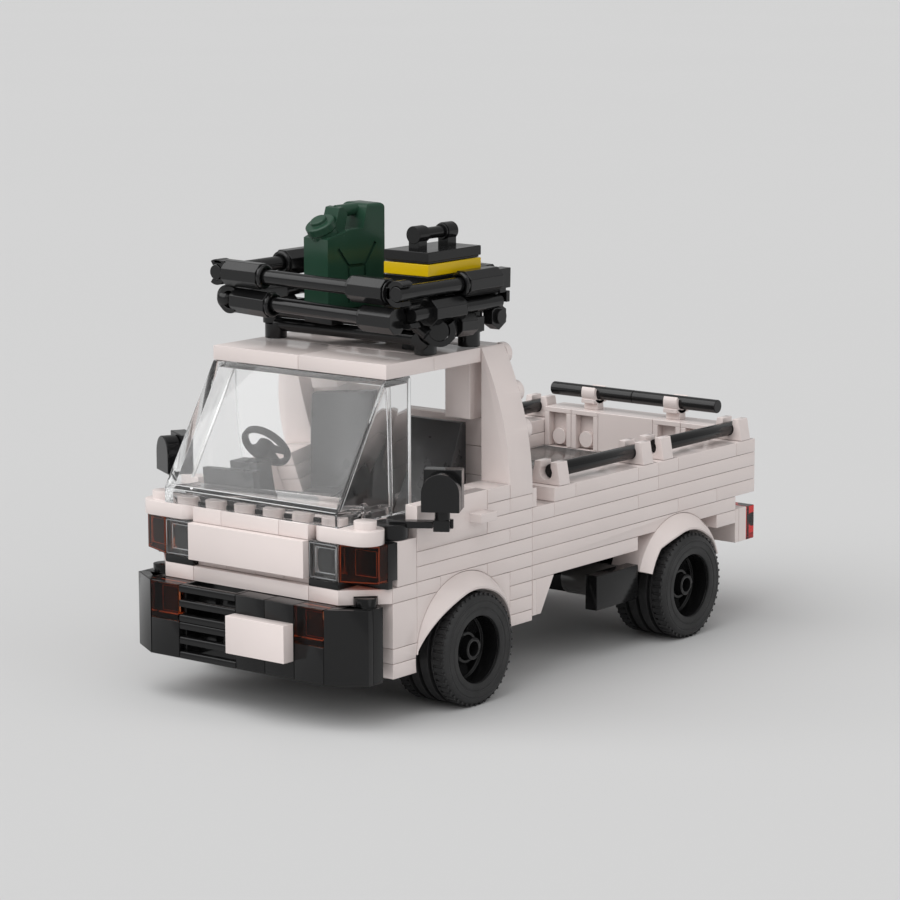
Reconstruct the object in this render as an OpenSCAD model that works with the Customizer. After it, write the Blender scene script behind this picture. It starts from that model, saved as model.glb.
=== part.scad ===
// Kei truck built from interlocking plastic bricks, with an open load bed,
// a bar rack on the cab roof and four free-turning wheels.
// Millimetres, +Z up, front towards -Y. The origin is at ground level under the middle.

/* [Brick grid] */
// Distance between stud centres
pitch = 8; // [6.4:0.1:10]
// Height of one plate
plate_h = 3.2; // [2.6:0.1:4]
// Stud diameter
stud_d = 4.8; // [4:0.1:5.4]
// Stud height
stud_h = 1.7; // [1.2:0.1:2.2]
// Joint between neighbouring bricks
joint = 0.1; // [0.04:0.02:0.2]

/* [Wheels] */
// Tyre outer diameter
tyre_d = 24.3; // [20:0.1:29.2]
// Tyre width
tyre_w = 14; // [11:0.1:17]
// Rim diameter inside the tyre
rim_d = 18; // [15:0.1:19]
// Wheel pin diameter
pin_d = 4.8; // [4:0.1:5.6]
// Radial running clearance between pin and rim
pin_play = 0.05; // [0.02:0.01:0.1]
// Distance from the tyre's outer face to the body side
wheel_out = 4; // [3:0.1:5]

/* [Wheel arches] */
// Gap from the tyre tread to the arch
arch_gap = 1; // [0.6:0.1:2]
// Radial thickness of the arch at the body side
arch_t = 3.2; // [2:0.1:4]
// How far the arch lip stands out of the body side
arch_out = 3.4; // [2:0.1:3.8]

/* [Glass and panels] */
// Thickness of the windscreen moulding
glass_t = 1.6; // [1:0.1:2.2]
// Height of the windscreen moulding in plates
glass_plates = 9; // [8:1:11]
// Thickness of the bracket plates
bracket_t = 1.6; // [1.2:0.1:2]

/* [Bars] */
// Diameter of the round bars
bar_d = 3.2; // [2.6:0.1:3.6]
// Height of the bed rail bars above the rail
rail_rise = 2.6; // [1.9:0.1:3.2]
// Height of the gate bar above the gate
gate_bar_rise = 4; // [3:0.1:5]

/* [Roof rack] */
// Half distance between the rack's side bars
rack_half_w = 25.4; // [24:0.2:28]
// Length of the rack between the front and rear bars
rack_len = 33; // [30:0.5:34]
// Height of the lower frame over the roof
rack_low = 9.5; // [8.5:0.1:11]
// Height of the upper frame over the lower one
rack_rise = 5.9; // [5.5:0.1:8]

/* [Cargo] */
// Jerrycan width, depth and body height
can_size = [16, 8, 15];
// Turn of the jerrycan
can_turn = 10; // [0:1:20]
// Toolbox width, depth and base height
toolbox_size = [12, 18.2, 8.6];
// Thickness of the toolbox lid and of its coloured band
toolbox_lid_t = 2.6; // [2:0.1:3.2]

/* [Mirrors] */
// Width of the mirror head
mirror_w = 8; // [6:0.5:10]
// Height of the mirror head
mirror_h = 8; // [7:0.5:11]
// Length of the mirror arm
mirror_arm_l = 10.9; // [9:0.1:13]
// Backward swing of the mirror arm
mirror_swing = 33; // [20:1:45]
// Outward turn of the mirror head
mirror_turn = 29; // [0:1:45]

/* [Hidden] */
$fn = 48;

// grid and levels: studs along X and Y, plates along Z
half_w = 4 * pitch;
cab_half = 3 * pitch;
rear_y = 17 * pitch;
axle_z = 0.75 * plate_h;
tyre_r = tyre_d / 2;
ground_z = axle_z - tyre_r;
front_axle_y = 3 * pitch;
rear_axle_y = 13 * pitch;
rail_row = 10;
rail_top = rail_row * plate_h;
roof_row = rail_row + glass_plates;
roof_top = (roof_row + 1) * plate_h;
bed_front_y = 7 * pitch;
gate_y = 16 * pitch;
// bumper planes in front of the body
bumper_back_y = -2 * plate_h;
bumper_y = bumper_back_y - 2 * plate_h;
plate_face_y = bumper_y - plate_h;
mid_y = (plate_face_y + rear_y) / 2;
// wheels
wheel_x = half_w + wheel_out - tyre_w / 2;
tyre_in_x = half_w + wheel_out - tyre_w;
arch_in_r = tyre_r + arch_gap;
arch_r = arch_in_r + arch_t;
chassis_half = 2 * pitch;
side_box_z = plate_h / 2;
mirror_z = 10.85 * plate_h;
pin_end_x = half_w + wheel_out - 1.6;
rim_wall = 1.8;
bead_t = 0.6;
hub_r = pin_d / 2 + 1.6;
// rack levels
rack_front_y = 1.5 * pitch;
low_z = roof_top + rack_low;
up_z = low_z + rack_rise;
cargo_z = low_z - bar_d / 2;
deck_z = cargo_z - plate_h;
rack_foot_y = rack_front_y + 13;
foot_x = 2.6 * pitch;
seat_top = 14.8 * plate_h;
// cab back wall
wall_row = rail_row + 5;
post_w = 0.85 * pitch;
holder_d = 5.4;

module place() { translate([0, -mid_y, -ground_z]) children(); }
module both() { children(); mirror([1, 0, 0]) children(); }

// one brick: ranges in studs across and along, rows in plates
module brick(x, y, rows) {
    translate([x[0] * pitch + joint / 2, y[0] * pitch + joint / 2, rows[0] * plate_h])
        cube([(x[1] - x[0]) * pitch - joint, (y[1] - y[0]) * pitch - joint,
            (rows[1] - rows[0]) * plate_h - joint]);
}
// a box from corner to corner in millimetres
module box(lo, hi) { translate(lo) cube(hi - lo); }
module stud(x, y, z) { translate([x, y, z]) cylinder(d = stud_d, h = stud_h); }
module bar_x(x0, x1, y, z, d = bar_d) {
    translate([x0, y, z]) rotate([0, 90, 0]) cylinder(d = d, h = x1 - x0);
}
module bar_y(y0, y1, x, z, d = bar_d) {
    translate([x, y1, z]) rotate([90, 0, 0]) cylinder(d = d, h = y1 - y0);
}
module bar_z(z0, z1, x, y, d = bar_d) { translate([x, y, z0]) cylinder(d = d, h = z1 - z0); }
// a slope that falls outwards, drawn as plan points and lifted
module prism(points, z0, z1) { translate([0, 0, z0]) linear_extrude(z1 - z0) polygon(points); }
module disc_x(y, z, r, x0, x1) {
    translate([x0, y, z]) rotate([0, 90, 0]) cylinder(r = r, h = x1 - x0, $fn = 96);
}
module at_wheel(side, y) {
    translate([side * wheel_x, y, axle_z]) rotate([0, side * 90, 0]) children();
}

module chassis_frame() color("#1c1c1c") place() {
    box([-chassis_half, joint, 2 * plate_h], [chassis_half, gate_y, 4 * plate_h - joint]);
    box([-chassis_half, bed_front_y, 4 * plate_h], [chassis_half, gate_y - joint, 7 * plate_h - joint]);
}

module wheel_carriers() color("#1c1c1c") place() {
    for (y = [front_axle_y, rear_axle_y]) difference() {
        union() {
            box([-chassis_half, y - pitch, -plate_h / 2], [chassis_half, y + pitch, 2 * plate_h - joint]);
            disc_x(y, axle_z, pin_d / 2, -pin_end_x, pin_end_x);
            disc_x(y, axle_z, hub_r, -tyre_in_x - 0.4, tyre_in_x + 0.4);
        }
        for (s = [-1, 1]) disc_x(y, axle_z, bar_d / 2, s > 0 ? pin_end_x - 6 : -pin_end_x - 1,
            s > 0 ? pin_end_x + 1 : -pin_end_x + 6);
    }
}

module side_box() color("#2b2b2b") place()
    box([half_w - plate_h, 9 * pitch, side_box_z], [half_w, 11 * pitch, side_box_z + pitch - joint]);

module side_drum() color("#3a3f42") place()
    bar_x(chassis_half + joint, half_w - plate_h - joint, 10.5 * pitch, side_box_z + pitch / 2, pitch - joint);

module rim(side, y) color("#141414") place() at_wheel(side, y) {
    h = tyre_w / 2;
    rotate_extrude($fn = 96) difference() {
        union() {
            translate([rim_d / 2 - rim_wall, -h]) square([rim_wall, tyre_w - bead_t - joint]);
            translate([pin_d / 2 + pin_play, -h + 1]) square([1.5, tyre_w - 3.6]);
            translate([pin_d / 2 + pin_play, 0]) square([rim_d / 2 - rim_wall - pin_d / 2, 1.6]);
        }
    }
    for (a = [0 : 60 : 300]) rotate([0, 0, a])
        translate([pin_d / 2 + 1, -0.8, 1.2]) cube([rim_d / 2 - rim_wall - pin_d / 2 - 0.6, 1.6, 1.6]);
}

module tyre(side, y) color("#232323") place() at_wheel(side, y) {
    h = tyre_w / 2;
    rotate_extrude($fn = 96) polygon([
        [rim_d / 2 + 0.02, -h], [tyre_r - 0.6, -h], [tyre_r, -h + 1], [tyre_r, h - 1],
        [tyre_r - 0.6, h], [rim_d / 2 - rim_wall, h],
        [rim_d / 2 - rim_wall, h - bead_t], [rim_d / 2 + 0.02, h - bead_t]]);
}

module arch_cut(y, r) { disc_x(y, axle_z, r, 0, half_w + 1); }

module fender(y, foot) color("#e2d9d6") place() intersection() {
    union() {
        difference() {
            disc_x(y, axle_z, arch_r, cab_half, half_w);
            disc_x(y, axle_z, arch_in_r, cab_half - 1, half_w + 1);
        }
        translate([0, y, axle_z]) rotate([0, 90, 0]) rotate_extrude($fn = 96) polygon([
            [arch_in_r, half_w], [arch_r, half_w],
            [arch_in_r + 0.6, half_w + arch_out], [arch_in_r - 0.4, half_w + arch_out]]);
    }
    box([0, y - 3 * pitch, foot], [half_w + 2 * pitch, y + 3 * pitch, 8 * plate_h]);
}

module side_bricks(list) {
    for (b = list) brick([3, 4], [b[0], b[1]], [b[2], b[3]]);
}

module cab_side() color("#e2d9d6") place() {
    difference() {
        side_bricks([
            [1, 2, 5, 6], [2, 4, 5, 6], [4, 6, 5, 6], [1, 6, 6, 7], [1, 5, 7, 8], [5, 6, 7, 8],
            [4, 6, 8, 9], [4, 5, 9, 10], [5, 6, 9, 10], [4, 5, 10, 11],
            [0, 1, 0, 1], [0, 1, 1, 2], [0, 1, 2, 5], [0, 1, 5, 6],
            [1, 5, 2, 5], [5, 6, 1.2, 2], [5, 6, 2, 3], [5, 6, 3, 4], [5, 6, 4, 5]
        ]);
        arch_cut(front_axle_y, arch_r + joint);
        box([cab_half - 1, pitch, -1], [half_w + 1, 5 * pitch, axle_z]);
    }
    // smooth corner column behind the lamp
    box([cab_half + joint, 1.6, 6 * plate_h], [half_w - joint / 2, pitch - joint, 9 * plate_h - joint]);
    // smooth door panel and its handle
    box([half_w - 2 * bracket_t, pitch + joint, 8 * plate_h],
        [half_w - joint / 2, 4 * pitch - joint, 11 * plate_h]);
    box([half_w - joint / 2, 3.2 * pitch, 9.1 * plate_h], [half_w + 3.2, 3.9 * pitch, 9.7 * plate_h]);
}

module cab_front_wall() color("#e2d9d6") place() {
    // wedge plate row over the bumper with 45 degree corners
    difference() {
        prism([[-cab_half, -pitch], [cab_half, -pitch], [half_w - joint, -joint], [-half_w + joint, -joint]],
            5 * plate_h, 6 * plate_h - joint);
        both() translate([3.5 * pitch, -pitch / 2, 5 * plate_h - joint]) rotate([0, 0, 45])
            box([-stud_d / 2 - joint, -stud_d, 0], [stud_d / 2 + joint, stud_d, stud_h + 2 * joint]);
    }
    box([-2 * pitch, -2 * plate_h, 6 * plate_h], [2 * pitch, -joint, 9 * plate_h - joint]);
    for (x = [[-2, -1], [-1, 1], [1, 2]]) brick(x, [-1, 0], [9, 10]);
    both() box([joint, 0, 9 * plate_h], [cab_half, pitch - joint, 10 * plate_h - joint]);
}

module hood_panel() color("#ece5e2") place()
    box([-2 * pitch, -3 * plate_h, 6.5 * plate_h], [2 * pitch, -2 * plate_h - joint, 9 * plate_h - joint]);

module headlamps() color("#b9c3c8") place() both()
    box([2 * pitch + joint, -2.5 * plate_h, 6.5 * plate_h],
        [cab_half - joint, -1.5 * plate_h - joint, 9 * plate_h - joint]);

module corner_lamps() color("#8c2f14") place() both()
    prism([[cab_half + joint, -pitch], [half_w, -1.5 * plate_h], [half_w, -plate_h],
        [half_w, -0.5 * plate_h - joint], [cab_half + joint, -0.5 * plate_h - joint]],
        6.5 * plate_h, 9 * plate_h - joint);

// black brackets behind and under the lamps
module lamp_backs() color("#1a1a1a") place() both() {
    box([2 * pitch + joint, -0.5 * plate_h, 6 * plate_h], [half_w, -joint, 9 * plate_h - joint]);
    box([3 * pitch + joint, -joint, 6.5 * plate_h], [half_w, 0.5 * plate_h - joint, 9 * plate_h - joint]);
    box([2 * pitch + joint, -pitch, 6 * plate_h], [cab_half, -0.5 * plate_h, 6.5 * plate_h - joint]);
    box([2 * pitch + joint, -1.5 * plate_h, 6.5 * plate_h],
        [cab_half - joint, -0.5 * plate_h, 9 * plate_h - joint]);
}

module lamp_top_plates() color("#e2d9d6") place() both() {
    translate([0, 0, 9 * plate_h]) linear_extrude(plate_h - joint) hull()
        for (x = [2.5, 3.5]) translate([x * pitch, -pitch / 2]) circle(d = pitch - joint);
    stud(3.5 * pitch, -pitch / 2, rail_top - joint);
}

module bumper_core() color("#1a1a1a") place() {
    box([-cab_half, bumper_back_y, 0], [cab_half, bumper_back_y + plate_h - joint, 5 * plate_h - joint]);
    // left edge in studs and height in plates of each tile
    for (t = [[-3, 2.5], [0, 5], [1, 5], [2, 2.5]])
        box([t[0] * pitch + joint / 2, bumper_y, 0],
            [(t[0] + 1) * pitch - joint / 2, bumper_back_y - joint, t[1] * plate_h - joint]);
}

module bumper_corners() color("#1a1a1a") place() both() {
    prism([[cab_half + joint, bumper_y], [half_w, bumper_y + 1.5 * plate_h],
        [half_w, bumper_back_y - joint], [cab_half + joint, bumper_back_y - joint]], 0, 5 * plate_h - joint);
    box([cab_half + joint, bumper_back_y, 0], [half_w, -plate_h - joint, 5 * plate_h - joint]);
    stud(3.5 * pitch, -pitch / 2 - joint, 5 * plate_h - joint);
}

module grille_slats() color("#1a1a1a") place() {
    for (k = [0 : 5]) box([-2 * pitch + joint, bumper_y, (k * 2.5 / 3) * plate_h + 0.3],
        [-joint, bumper_y + 1.6, (k * 2.5 / 3 + 0.5) * plate_h + 0.3]);
    for (x = [-2 * pitch + joint, -pitch - 0.5, -joint - 1]) box([x, bumper_y + 1.6, 0],
        [x + 1, bumper_back_y - joint, 5 * plate_h - joint]);
}

module bumper_lamps() color("#8c4a1e") place() both()
    box([2 * pitch + joint, bumper_y, 2.5 * plate_h],
        [cab_half - joint, bumper_back_y - joint, 5 * plate_h - joint]);

module licence_plate() color("#f2f0ee") place()
    box([0, plate_face_y, 1.25 * plate_h], [2 * pitch, bumper_y - joint, 3.75 * plate_h]);

module windscreen() color("#cfd8dc") place() {
    outline = [[-pitch, rail_top], [-pitch, rail_top + plate_h], [pitch, roof_row * plate_h - joint],
        [2 * pitch, roof_row * plate_h - joint], [2 * pitch, rail_top]];
    difference() {
        rotate([90, 0, 90]) translate([0, 0, -cab_half]) linear_extrude(2 * cab_half) polygon(outline);
        rotate([90, 0, 90]) translate([0, 0, -cab_half + glass_t])
            linear_extrude(2 * (cab_half - glass_t)) polygon([
                [glass_t, rail_top - 1], [glass_t, rail_top + plate_h],
                [-pitch + glass_t * 1.3, rail_top + plate_h],
                [pitch + glass_t / 2, roof_row * plate_h - glass_t - joint],
                [3 * pitch, roof_row * plate_h - glass_t - joint], [3 * pitch, rail_top - 1]]);
        // hollow under the ledge
        box([-cab_half + glass_t, -pitch + glass_t, rail_top - 1],
            [cab_half - glass_t, glass_t / 2, rail_top + plate_h - glass_t / 2]);
    }
}

module roof() color("#e2d9d6") place() {
    for (x = [[-3, 0], [0, 3]]) for (y = [[1, 3], [3, 5]]) brick(x, y, [roof_row, roof_row + 1]);
    brick([-3, 3], [5, 6], [roof_row, roof_row + 1]);
    for (x = [-1.5 : 0.5]) for (y = [4.5, 5.5]) stud(x * pitch, y * pitch, roof_top - joint);
}

// corner post whose outer face bends in by one stud up to the roof
module pillar() color("#e2d9d6") place() {
    h = roof_top - rail_top;
    bend_r = (h * h + pitch * pitch) / (2 * pitch);
    translate([0, 6 * pitch - joint / 2, 0]) rotate([90, 0, 0]) linear_extrude(pitch - 1.5 * joint)
        intersection() {
            translate([cab_half + joint, rail_top]) square([pitch - joint, h - joint]);
            translate([half_w - bend_r, rail_top]) circle(r = bend_r, $fn = 360);
        }
    for (k = [0 : 2]) {
        rise = (k + 1.7) * pitch;
        in = bend_r - sqrt(bend_r * bend_r - rise * rise);
        translate([half_w - in - stud_d / 2, 6 * pitch - joint / 2, rail_top + rise])
            rotate([-90, 0, 0]) cylinder(d = stud_d, h = stud_h);
    }
}

// low wall behind the seats, two posts up to the roof and the sill of the load bed
module cab_back_wall() color("#d8d0cd") place() {
    for (r = [9 : 2 : wall_row - 2]) box([-cab_half + joint, 5.5 * pitch, r * plate_h],
        [cab_half - joint, 6 * pitch - joint, (r + 2) * plate_h - joint]);
    both() box([2.2 * pitch - post_w / 2, 5 * pitch + joint, wall_row * plate_h],
        [2.2 * pitch + post_w / 2, 6 * pitch - joint, roof_row * plate_h - joint]);
    box([-half_w + joint, 6 * pitch, 9 * plate_h], [half_w - joint, 6 * pitch + bracket_t, 10.3 * plate_h]);
}

module cab_floor() color("#3b3b3b") place()
    box([-cab_half + joint, joint, 5 * plate_h], [cab_half - joint, 6 * pitch - joint, 6 * plate_h - joint]);

module dashboard() color("#2b2b2b") place() {
    box([-cab_half + 2, 0.3 * pitch, 10 * plate_h], [-pitch, 0.55 * pitch, 12 * plate_h]);
    box([-2 * pitch, 0.55 * pitch, 10 * plate_h], [-pitch - 0.5, 1.1 * pitch, 12.5 * plate_h]);
    box([-pitch, 0.3 * pitch, 10 * plate_h], [cab_half - 2, 1.1 * pitch, 10.4 * plate_h]);
}

module steering_wheel() color("#151515") place()
    translate([-1.5 * pitch, 1.43 * pitch, 13.2 * plate_h]) rotate([-57, 0, 0]) {
        rotate_extrude() translate([5, 0]) circle(d = 1.4, $fn = 16);
        cylinder(d = 3.2, h = 1.6, center = true);
        translate([-5, -0.7, -0.6]) cube([10, 1.4, 1.2]);
        translate([0, 0, -2.8]) cylinder(d = 2.4, h = 2.8);
    }

// cushion block and a back that thins towards its top
module seat() color("#202020") place() translate([0.5 * pitch, 0, 0]) rotate([90, 0, 90])
    linear_extrude(2 * pitch) polygon([
        [2.6 * pitch, 6 * plate_h], [5 * pitch, 6 * plate_h], [5 * pitch, seat_top],
        [5 * pitch - 1.7, seat_top], [3.8 * pitch, 8.5 * plate_h], [2.6 * pitch, 8.5 * plate_h]]);

module bed_floor() color("#4b4b4b") place() {
    for (x = [[-3, -1], [-1, 1], [1, 3]]) for (y = [7 : 3 : 13]) brick(x, [y, y + 3], [7, 8]);
    brick([-3, 3], [6, 7], [7, 8]);
}

module bed_side() color("#e2d9d6") place() difference() {
    side_bricks([
        [6, 11, 4, 5], [15, 16, 4, 5], [6, 13, 5, 6], [13, 16, 5, 6], [6, 13, 6, 7], [13, 15, 6, 7],
        [15, 17, 6, 7], [6, 11, 7, 8], [11, 17, 7, 8], [6, 7, 8, 9], [7, 12, 8, 9], [12, 17, 8, 9],
        [7, 8, 9, 10], [8, 11, 9, 10], [11, 12, 9, 10], [12, 13, 9, 10], [13, 16, 9, 10], [16, 17, 9, 10]
    ]);
    arch_cut(rear_axle_y, arch_r + joint);
}

module bed_gate() color("#e2d9d6") place() {
    for (x = [[-3, -2], [-2, -1], [-1, 1], [1, 2], [2, 3]]) brick(x, [16, 17], [8, 11]);
    brick([-3, 3], [16, 17], [6, 8]);
}

module u_clip(x, y, z) translate([x, y, z]) rotate([90, 0, 0]) translate([0, 0, -bar_d * 0.6])
    linear_extrude(bar_d * 1.2) difference() {
        polygon([[-3.9, 0], [3.9, 0], [3, rail_rise + 2.4], [-3, rail_rise + 2.4]]);
        translate([0, rail_rise]) circle(d = bar_d + 0.1);
        translate([-1.3, rail_rise]) square([2.6, 4]);
    }

module rail_clips() color("#e2d9d6") place() both() {
    for (y = [7.5, 11.5, 12.5, 16.5]) u_clip(3.5 * pitch, y * pitch, rail_top);
}

module rail_bars() color("#1a1a1a") place() both() {
    for (y = [[7.5, 11.5], [12.5, 16.5]])
        bar_y(y[0] * pitch, y[1] * pitch, 3.5 * pitch, rail_top + rail_rise);
}

module gate_bar() place() {
    z = 11 * plate_h + gate_bar_rise;
    color("#1a1a1a") bar_x(-cab_half, cab_half, 16.5 * pitch, z);
    color("#e2d9d6") for (x = [-1.5 * pitch, 1.5 * pitch]) difference() {
        union() {
            box([x - 2, 16.5 * pitch - 2.6, 11 * plate_h], [x + 2, 16.5 * pitch + 2.6, z]);
            bar_x(x - 2, x + 2, 16.5 * pitch, z, 5.2);
        }
        bar_x(x - 3, x + 3, 16.5 * pitch, z, bar_d + 0.1);
    }
}

module tail_lamps() color("#a11d1d") place() both() {
    y0 = gate_y + bracket_t + plate_h;
    box([cab_half + joint, y0, 2.5 * plate_h], [half_w - joint, y0 + plate_h, 5 * plate_h]);
    box([cab_half + joint, y0 - plate_h, 2.5 * plate_h], [half_w - joint, y0 - joint, 5 * plate_h]);
    box([cab_half + joint, gate_y, 2.5 * plate_h],
        [half_w - joint, gate_y + bracket_t - joint, 5 * plate_h]);
}

// bracket plate behind the front wheel and the slope that hangs on it
module mud_flaps() color("#e2d9d6") place() both() {
    box([cab_half + joint, 6 * pitch + joint, 1.5 * plate_h],
        [half_w, 6 * pitch + bracket_t - joint, 4 * plate_h - joint]);
    translate([cab_half + joint, 6 * pitch + bracket_t, 1.5 * plate_h]) rotate([90, 0, 90])
        linear_extrude(pitch - 2 * joint)
            polygon([[0, 0], [plate_h / 2, 0], [2 * plate_h, 2.5 * plate_h - joint],
                [0, 2.5 * plate_h - joint]]);
}

// round base on the body, arm, post and a deep head with a round-topped face
module mirror_arm() color("#1a1a1a") place() translate([3.5 * pitch, pitch / 2, 0]) {
    bar_z(9 * plate_h, 10 * plate_h, 0, 0, pitch - joint);
    rotate([0, 0, mirror_swing]) {
        box([0, -1.5, 9.7 * plate_h], [mirror_arm_l, 1.2, 10.2 * plate_h]);
        box([mirror_arm_l - 1.7, -1.6, 9.5 * plate_h], [mirror_arm_l + 1.7, 1.6, 10.3 * plate_h]);
        bar_z(10 * plate_h, mirror_z + 1, mirror_arm_l, 0);
    }
    rotate([0, 0, mirror_swing]) translate([mirror_arm_l, 0, mirror_z])
        rotate([0, 0, mirror_turn - mirror_swing]) {
            rotate([90, 0, 0]) linear_extrude(3.2) union() {
                translate([-mirror_w / 2, 0]) square([mirror_w, mirror_h - mirror_w / 2]);
                translate([0, mirror_h - mirror_w / 2]) circle(d = mirror_w);
            }
            box([-mirror_w / 2, -0.1, 0], [mirror_w / 2, 3.6, mirror_h + 0.4]);
        }
}

module rack_frame(z) {
    y0 = rack_front_y;
    y1 = rack_front_y + rack_len;
    bar_x(-rack_half_w, rack_half_w, y0, z);
    bar_x(-rack_half_w, rack_half_w, y1, z);
    for (s = [-1, 1]) bar_y(y0, y1, s * rack_half_w, z);
    for (y = [y0, y1]) {
        bar_x(-rack_half_w - 2, -1.5 * pitch, y, z, holder_d);
        bar_x(1.5 * pitch, rack_half_w + 2, y, z, holder_d);
    }
}

module rack_lower_frame() color("#1a1a1a") place() rack_frame(low_z);

// plate under the cargo, carried by a leg on the roof
module rack_deck() color("#1a1a1a") place() {
    at_toolbox() {
        w = toolbox_size[0] / 2;
        d = toolbox_size[1] / 2;
        box([-w - 1.3 * pitch, -d, -plate_h], [w - pitch / 3, d, -joint]);
        box([-pitch / 2, -0.7 * pitch, roof_top - cargo_z], [0, 0, -plate_h]);
    }
    at_can() box([-can_size[0] / 2, -can_size[1] / 2 - 1, -plate_h],
        [can_size[0] / 2, can_size[1] / 2, -joint]);
}

module rack_upper_frame() color("#1a1a1a") place() {
    rack_frame(up_z);
    for (s = [-1, 1]) for (y = [rack_front_y, rack_front_y + rack_len])
        bar_z(low_z + holder_d / 2 + joint, up_z, s * rack_half_w, y);
}

module rack_feet() color("#1a1a1a") place() {
    for (s = [-1, 1]) for (y = [rack_foot_y, rack_front_y + rack_len - 5]) {
        bar_z(roof_top, roof_top + plate_h, s * foot_x, y, stud_d);
        bar_z(roof_top, low_z - bar_d / 2 - joint, s * (rack_half_w - 3), y, 4);
    }
    bar_x(-foot_x, foot_x, rack_foot_y, deck_z - bar_d / 2 - joint);
}

module at_can() {
    translate([-0.58 * pitch, 3.64 * pitch, cargo_z]) rotate([0, 0, 90 - can_turn]) children();
}

module jerrycan() color("#0f4a2c") place() at_can() {
    w = can_size[0];
    d = can_size[1];
    h = can_size[2];
    top = h + 7;
    translate([0, d / 2, 0]) rotate([90, 0, 0]) linear_extrude(d) difference() {
        polygon([[-w / 2, 0], [w / 2, 0], [w / 2, top], [-w / 4, top], [-w / 2, h]]);
        translate([-w / 8, h + 2.2]) square([w / 3, 3]);
    }
    translate([-w / 2 + 2, 0, h]) rotate([0, -35, 0]) cylinder(d = 5, h = 4.5);
}

module at_toolbox() {
    translate([
        rack_half_w - holder_d / 2 - 2 * joint - toolbox_size[0] / 2,
        rack_front_y + rack_len - holder_d / 2 - 2 * joint - toolbox_size[1] / 2,
        low_z - bar_d / 2
    ]) children();
}

module toolbox_base() place() at_toolbox() {
    w = toolbox_size[0] / 2;
    d = toolbox_size[1] / 2;
    h = toolbox_size[2];
    color("#1a1a1a") box([-w, -d, 0], [w, d, h - joint]);
    color("#d9b400") box([-w, -d, h], [w, d, h + toolbox_lid_t - joint]);
}

module toolbox_lid() color("#1a1a1a") place()
    at_toolbox() translate([0, 0, toolbox_size[2] + toolbox_lid_t]) {
        w = toolbox_size[0] / 2;
        d = toolbox_size[1] / 2;
        handle_z = toolbox_lid_t + 3;
        box([-w, -d, 0], [w, d, toolbox_lid_t - joint]);
        for (s = [-1, 1]) {
            box([-1.5, s * 5 - 1.6, toolbox_lid_t - joint], [1.5, s * 5 + 1.6, handle_z]);
            bar_y(s * 5 - 1.6, s * 5 + 1.6, 0, handle_z, 3.8);
        }
        bar_y(-5, 5, 0, handle_z, 2.4);
    }

chassis_frame();
wheel_carriers();
side_box();
side_drum();
rim(1, front_axle_y);  // rim_front_left
rim(-1, front_axle_y);  // rim_front_right
rim(1, rear_axle_y);  // rim_rear_left
rim(-1, rear_axle_y);  // rim_rear_right
tyre(1, front_axle_y);  // tyre_front_left
tyre(-1, front_axle_y);  // tyre_front_right
tyre(1, rear_axle_y);  // tyre_rear_left
tyre(-1, rear_axle_y);  // tyre_rear_right
fender(front_axle_y, plate_h);  // fender_front_left
mirror([1, 0, 0]) fender(front_axle_y, plate_h);  // fender_front_right
fender(rear_axle_y, 2 * plate_h);  // fender_rear_left
mirror([1, 0, 0]) fender(rear_axle_y, 2 * plate_h);  // fender_rear_right
cab_side();  // cab_side_left
mirror([1, 0, 0]) cab_side();  // cab_side_right
cab_front_wall();
hood_panel();
headlamps();
corner_lamps();
lamp_backs();
lamp_top_plates();
bumper_core();
bumper_corners();
grille_slats();
bumper_lamps();
licence_plate();
windscreen();
roof();
pillar();  // pillar_left
mirror([1, 0, 0]) pillar();  // pillar_right
cab_back_wall();
cab_floor();
dashboard();
steering_wheel();
seat();  // seat_left
mirror([1, 0, 0]) seat();  // seat_right
bed_floor();
bed_side();  // bed_side_left
mirror([1, 0, 0]) bed_side();  // bed_side_right
bed_gate();
rail_clips();
rail_bars();
gate_bar();
tail_lamps();
mud_flaps();
mirror_arm();  // mirror_left
mirror([1, 0, 0]) mirror_arm();  // mirror_right
rack_lower_frame();
rack_upper_frame();
rack_feet();
rack_deck();
jerrycan();
toolbox_base();
toolbox_lid();
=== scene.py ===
"""Studio scene of a small kei truck built from interlocking plastic bricks."""
import math

import bmesh
import bpy
from mathutils import Matrix, Vector


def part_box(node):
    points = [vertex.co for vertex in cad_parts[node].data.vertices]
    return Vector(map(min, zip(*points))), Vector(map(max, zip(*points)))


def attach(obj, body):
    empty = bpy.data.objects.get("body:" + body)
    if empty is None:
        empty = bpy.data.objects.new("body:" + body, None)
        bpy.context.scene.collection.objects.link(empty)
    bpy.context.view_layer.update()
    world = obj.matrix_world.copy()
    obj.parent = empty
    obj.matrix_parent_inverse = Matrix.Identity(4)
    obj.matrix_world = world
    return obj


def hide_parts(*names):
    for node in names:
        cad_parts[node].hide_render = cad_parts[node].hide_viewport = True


bl_info = {
    "name": "Brick Kei Truck",
    "version": (1, 0, 0),
    "blender": (4, 5, 0),
    "location": "View3D > Sidebar > Brick Truck",
    "description": "Builds the looks of a brick-built kei truck on its packed frame",
    "category": "Add Mesh",
}

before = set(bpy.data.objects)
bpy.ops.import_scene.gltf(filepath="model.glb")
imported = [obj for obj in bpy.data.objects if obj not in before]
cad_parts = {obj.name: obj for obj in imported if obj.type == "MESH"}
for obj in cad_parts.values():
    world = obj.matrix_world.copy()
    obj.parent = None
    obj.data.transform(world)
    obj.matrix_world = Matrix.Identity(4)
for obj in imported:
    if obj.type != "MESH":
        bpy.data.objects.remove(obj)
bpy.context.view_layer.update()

# the brick grid in millimetres: studs 8 apart, plates 3.2 high, a thin joint between bricks
MM = 0.001
PITCH = 8.0
PLATE = 3.2
JOINT = 0.1
STUD_R = 2.4
STUD_H = 1.7
BAR_R = 1.6
HOLDER_R = 2.75
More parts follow.
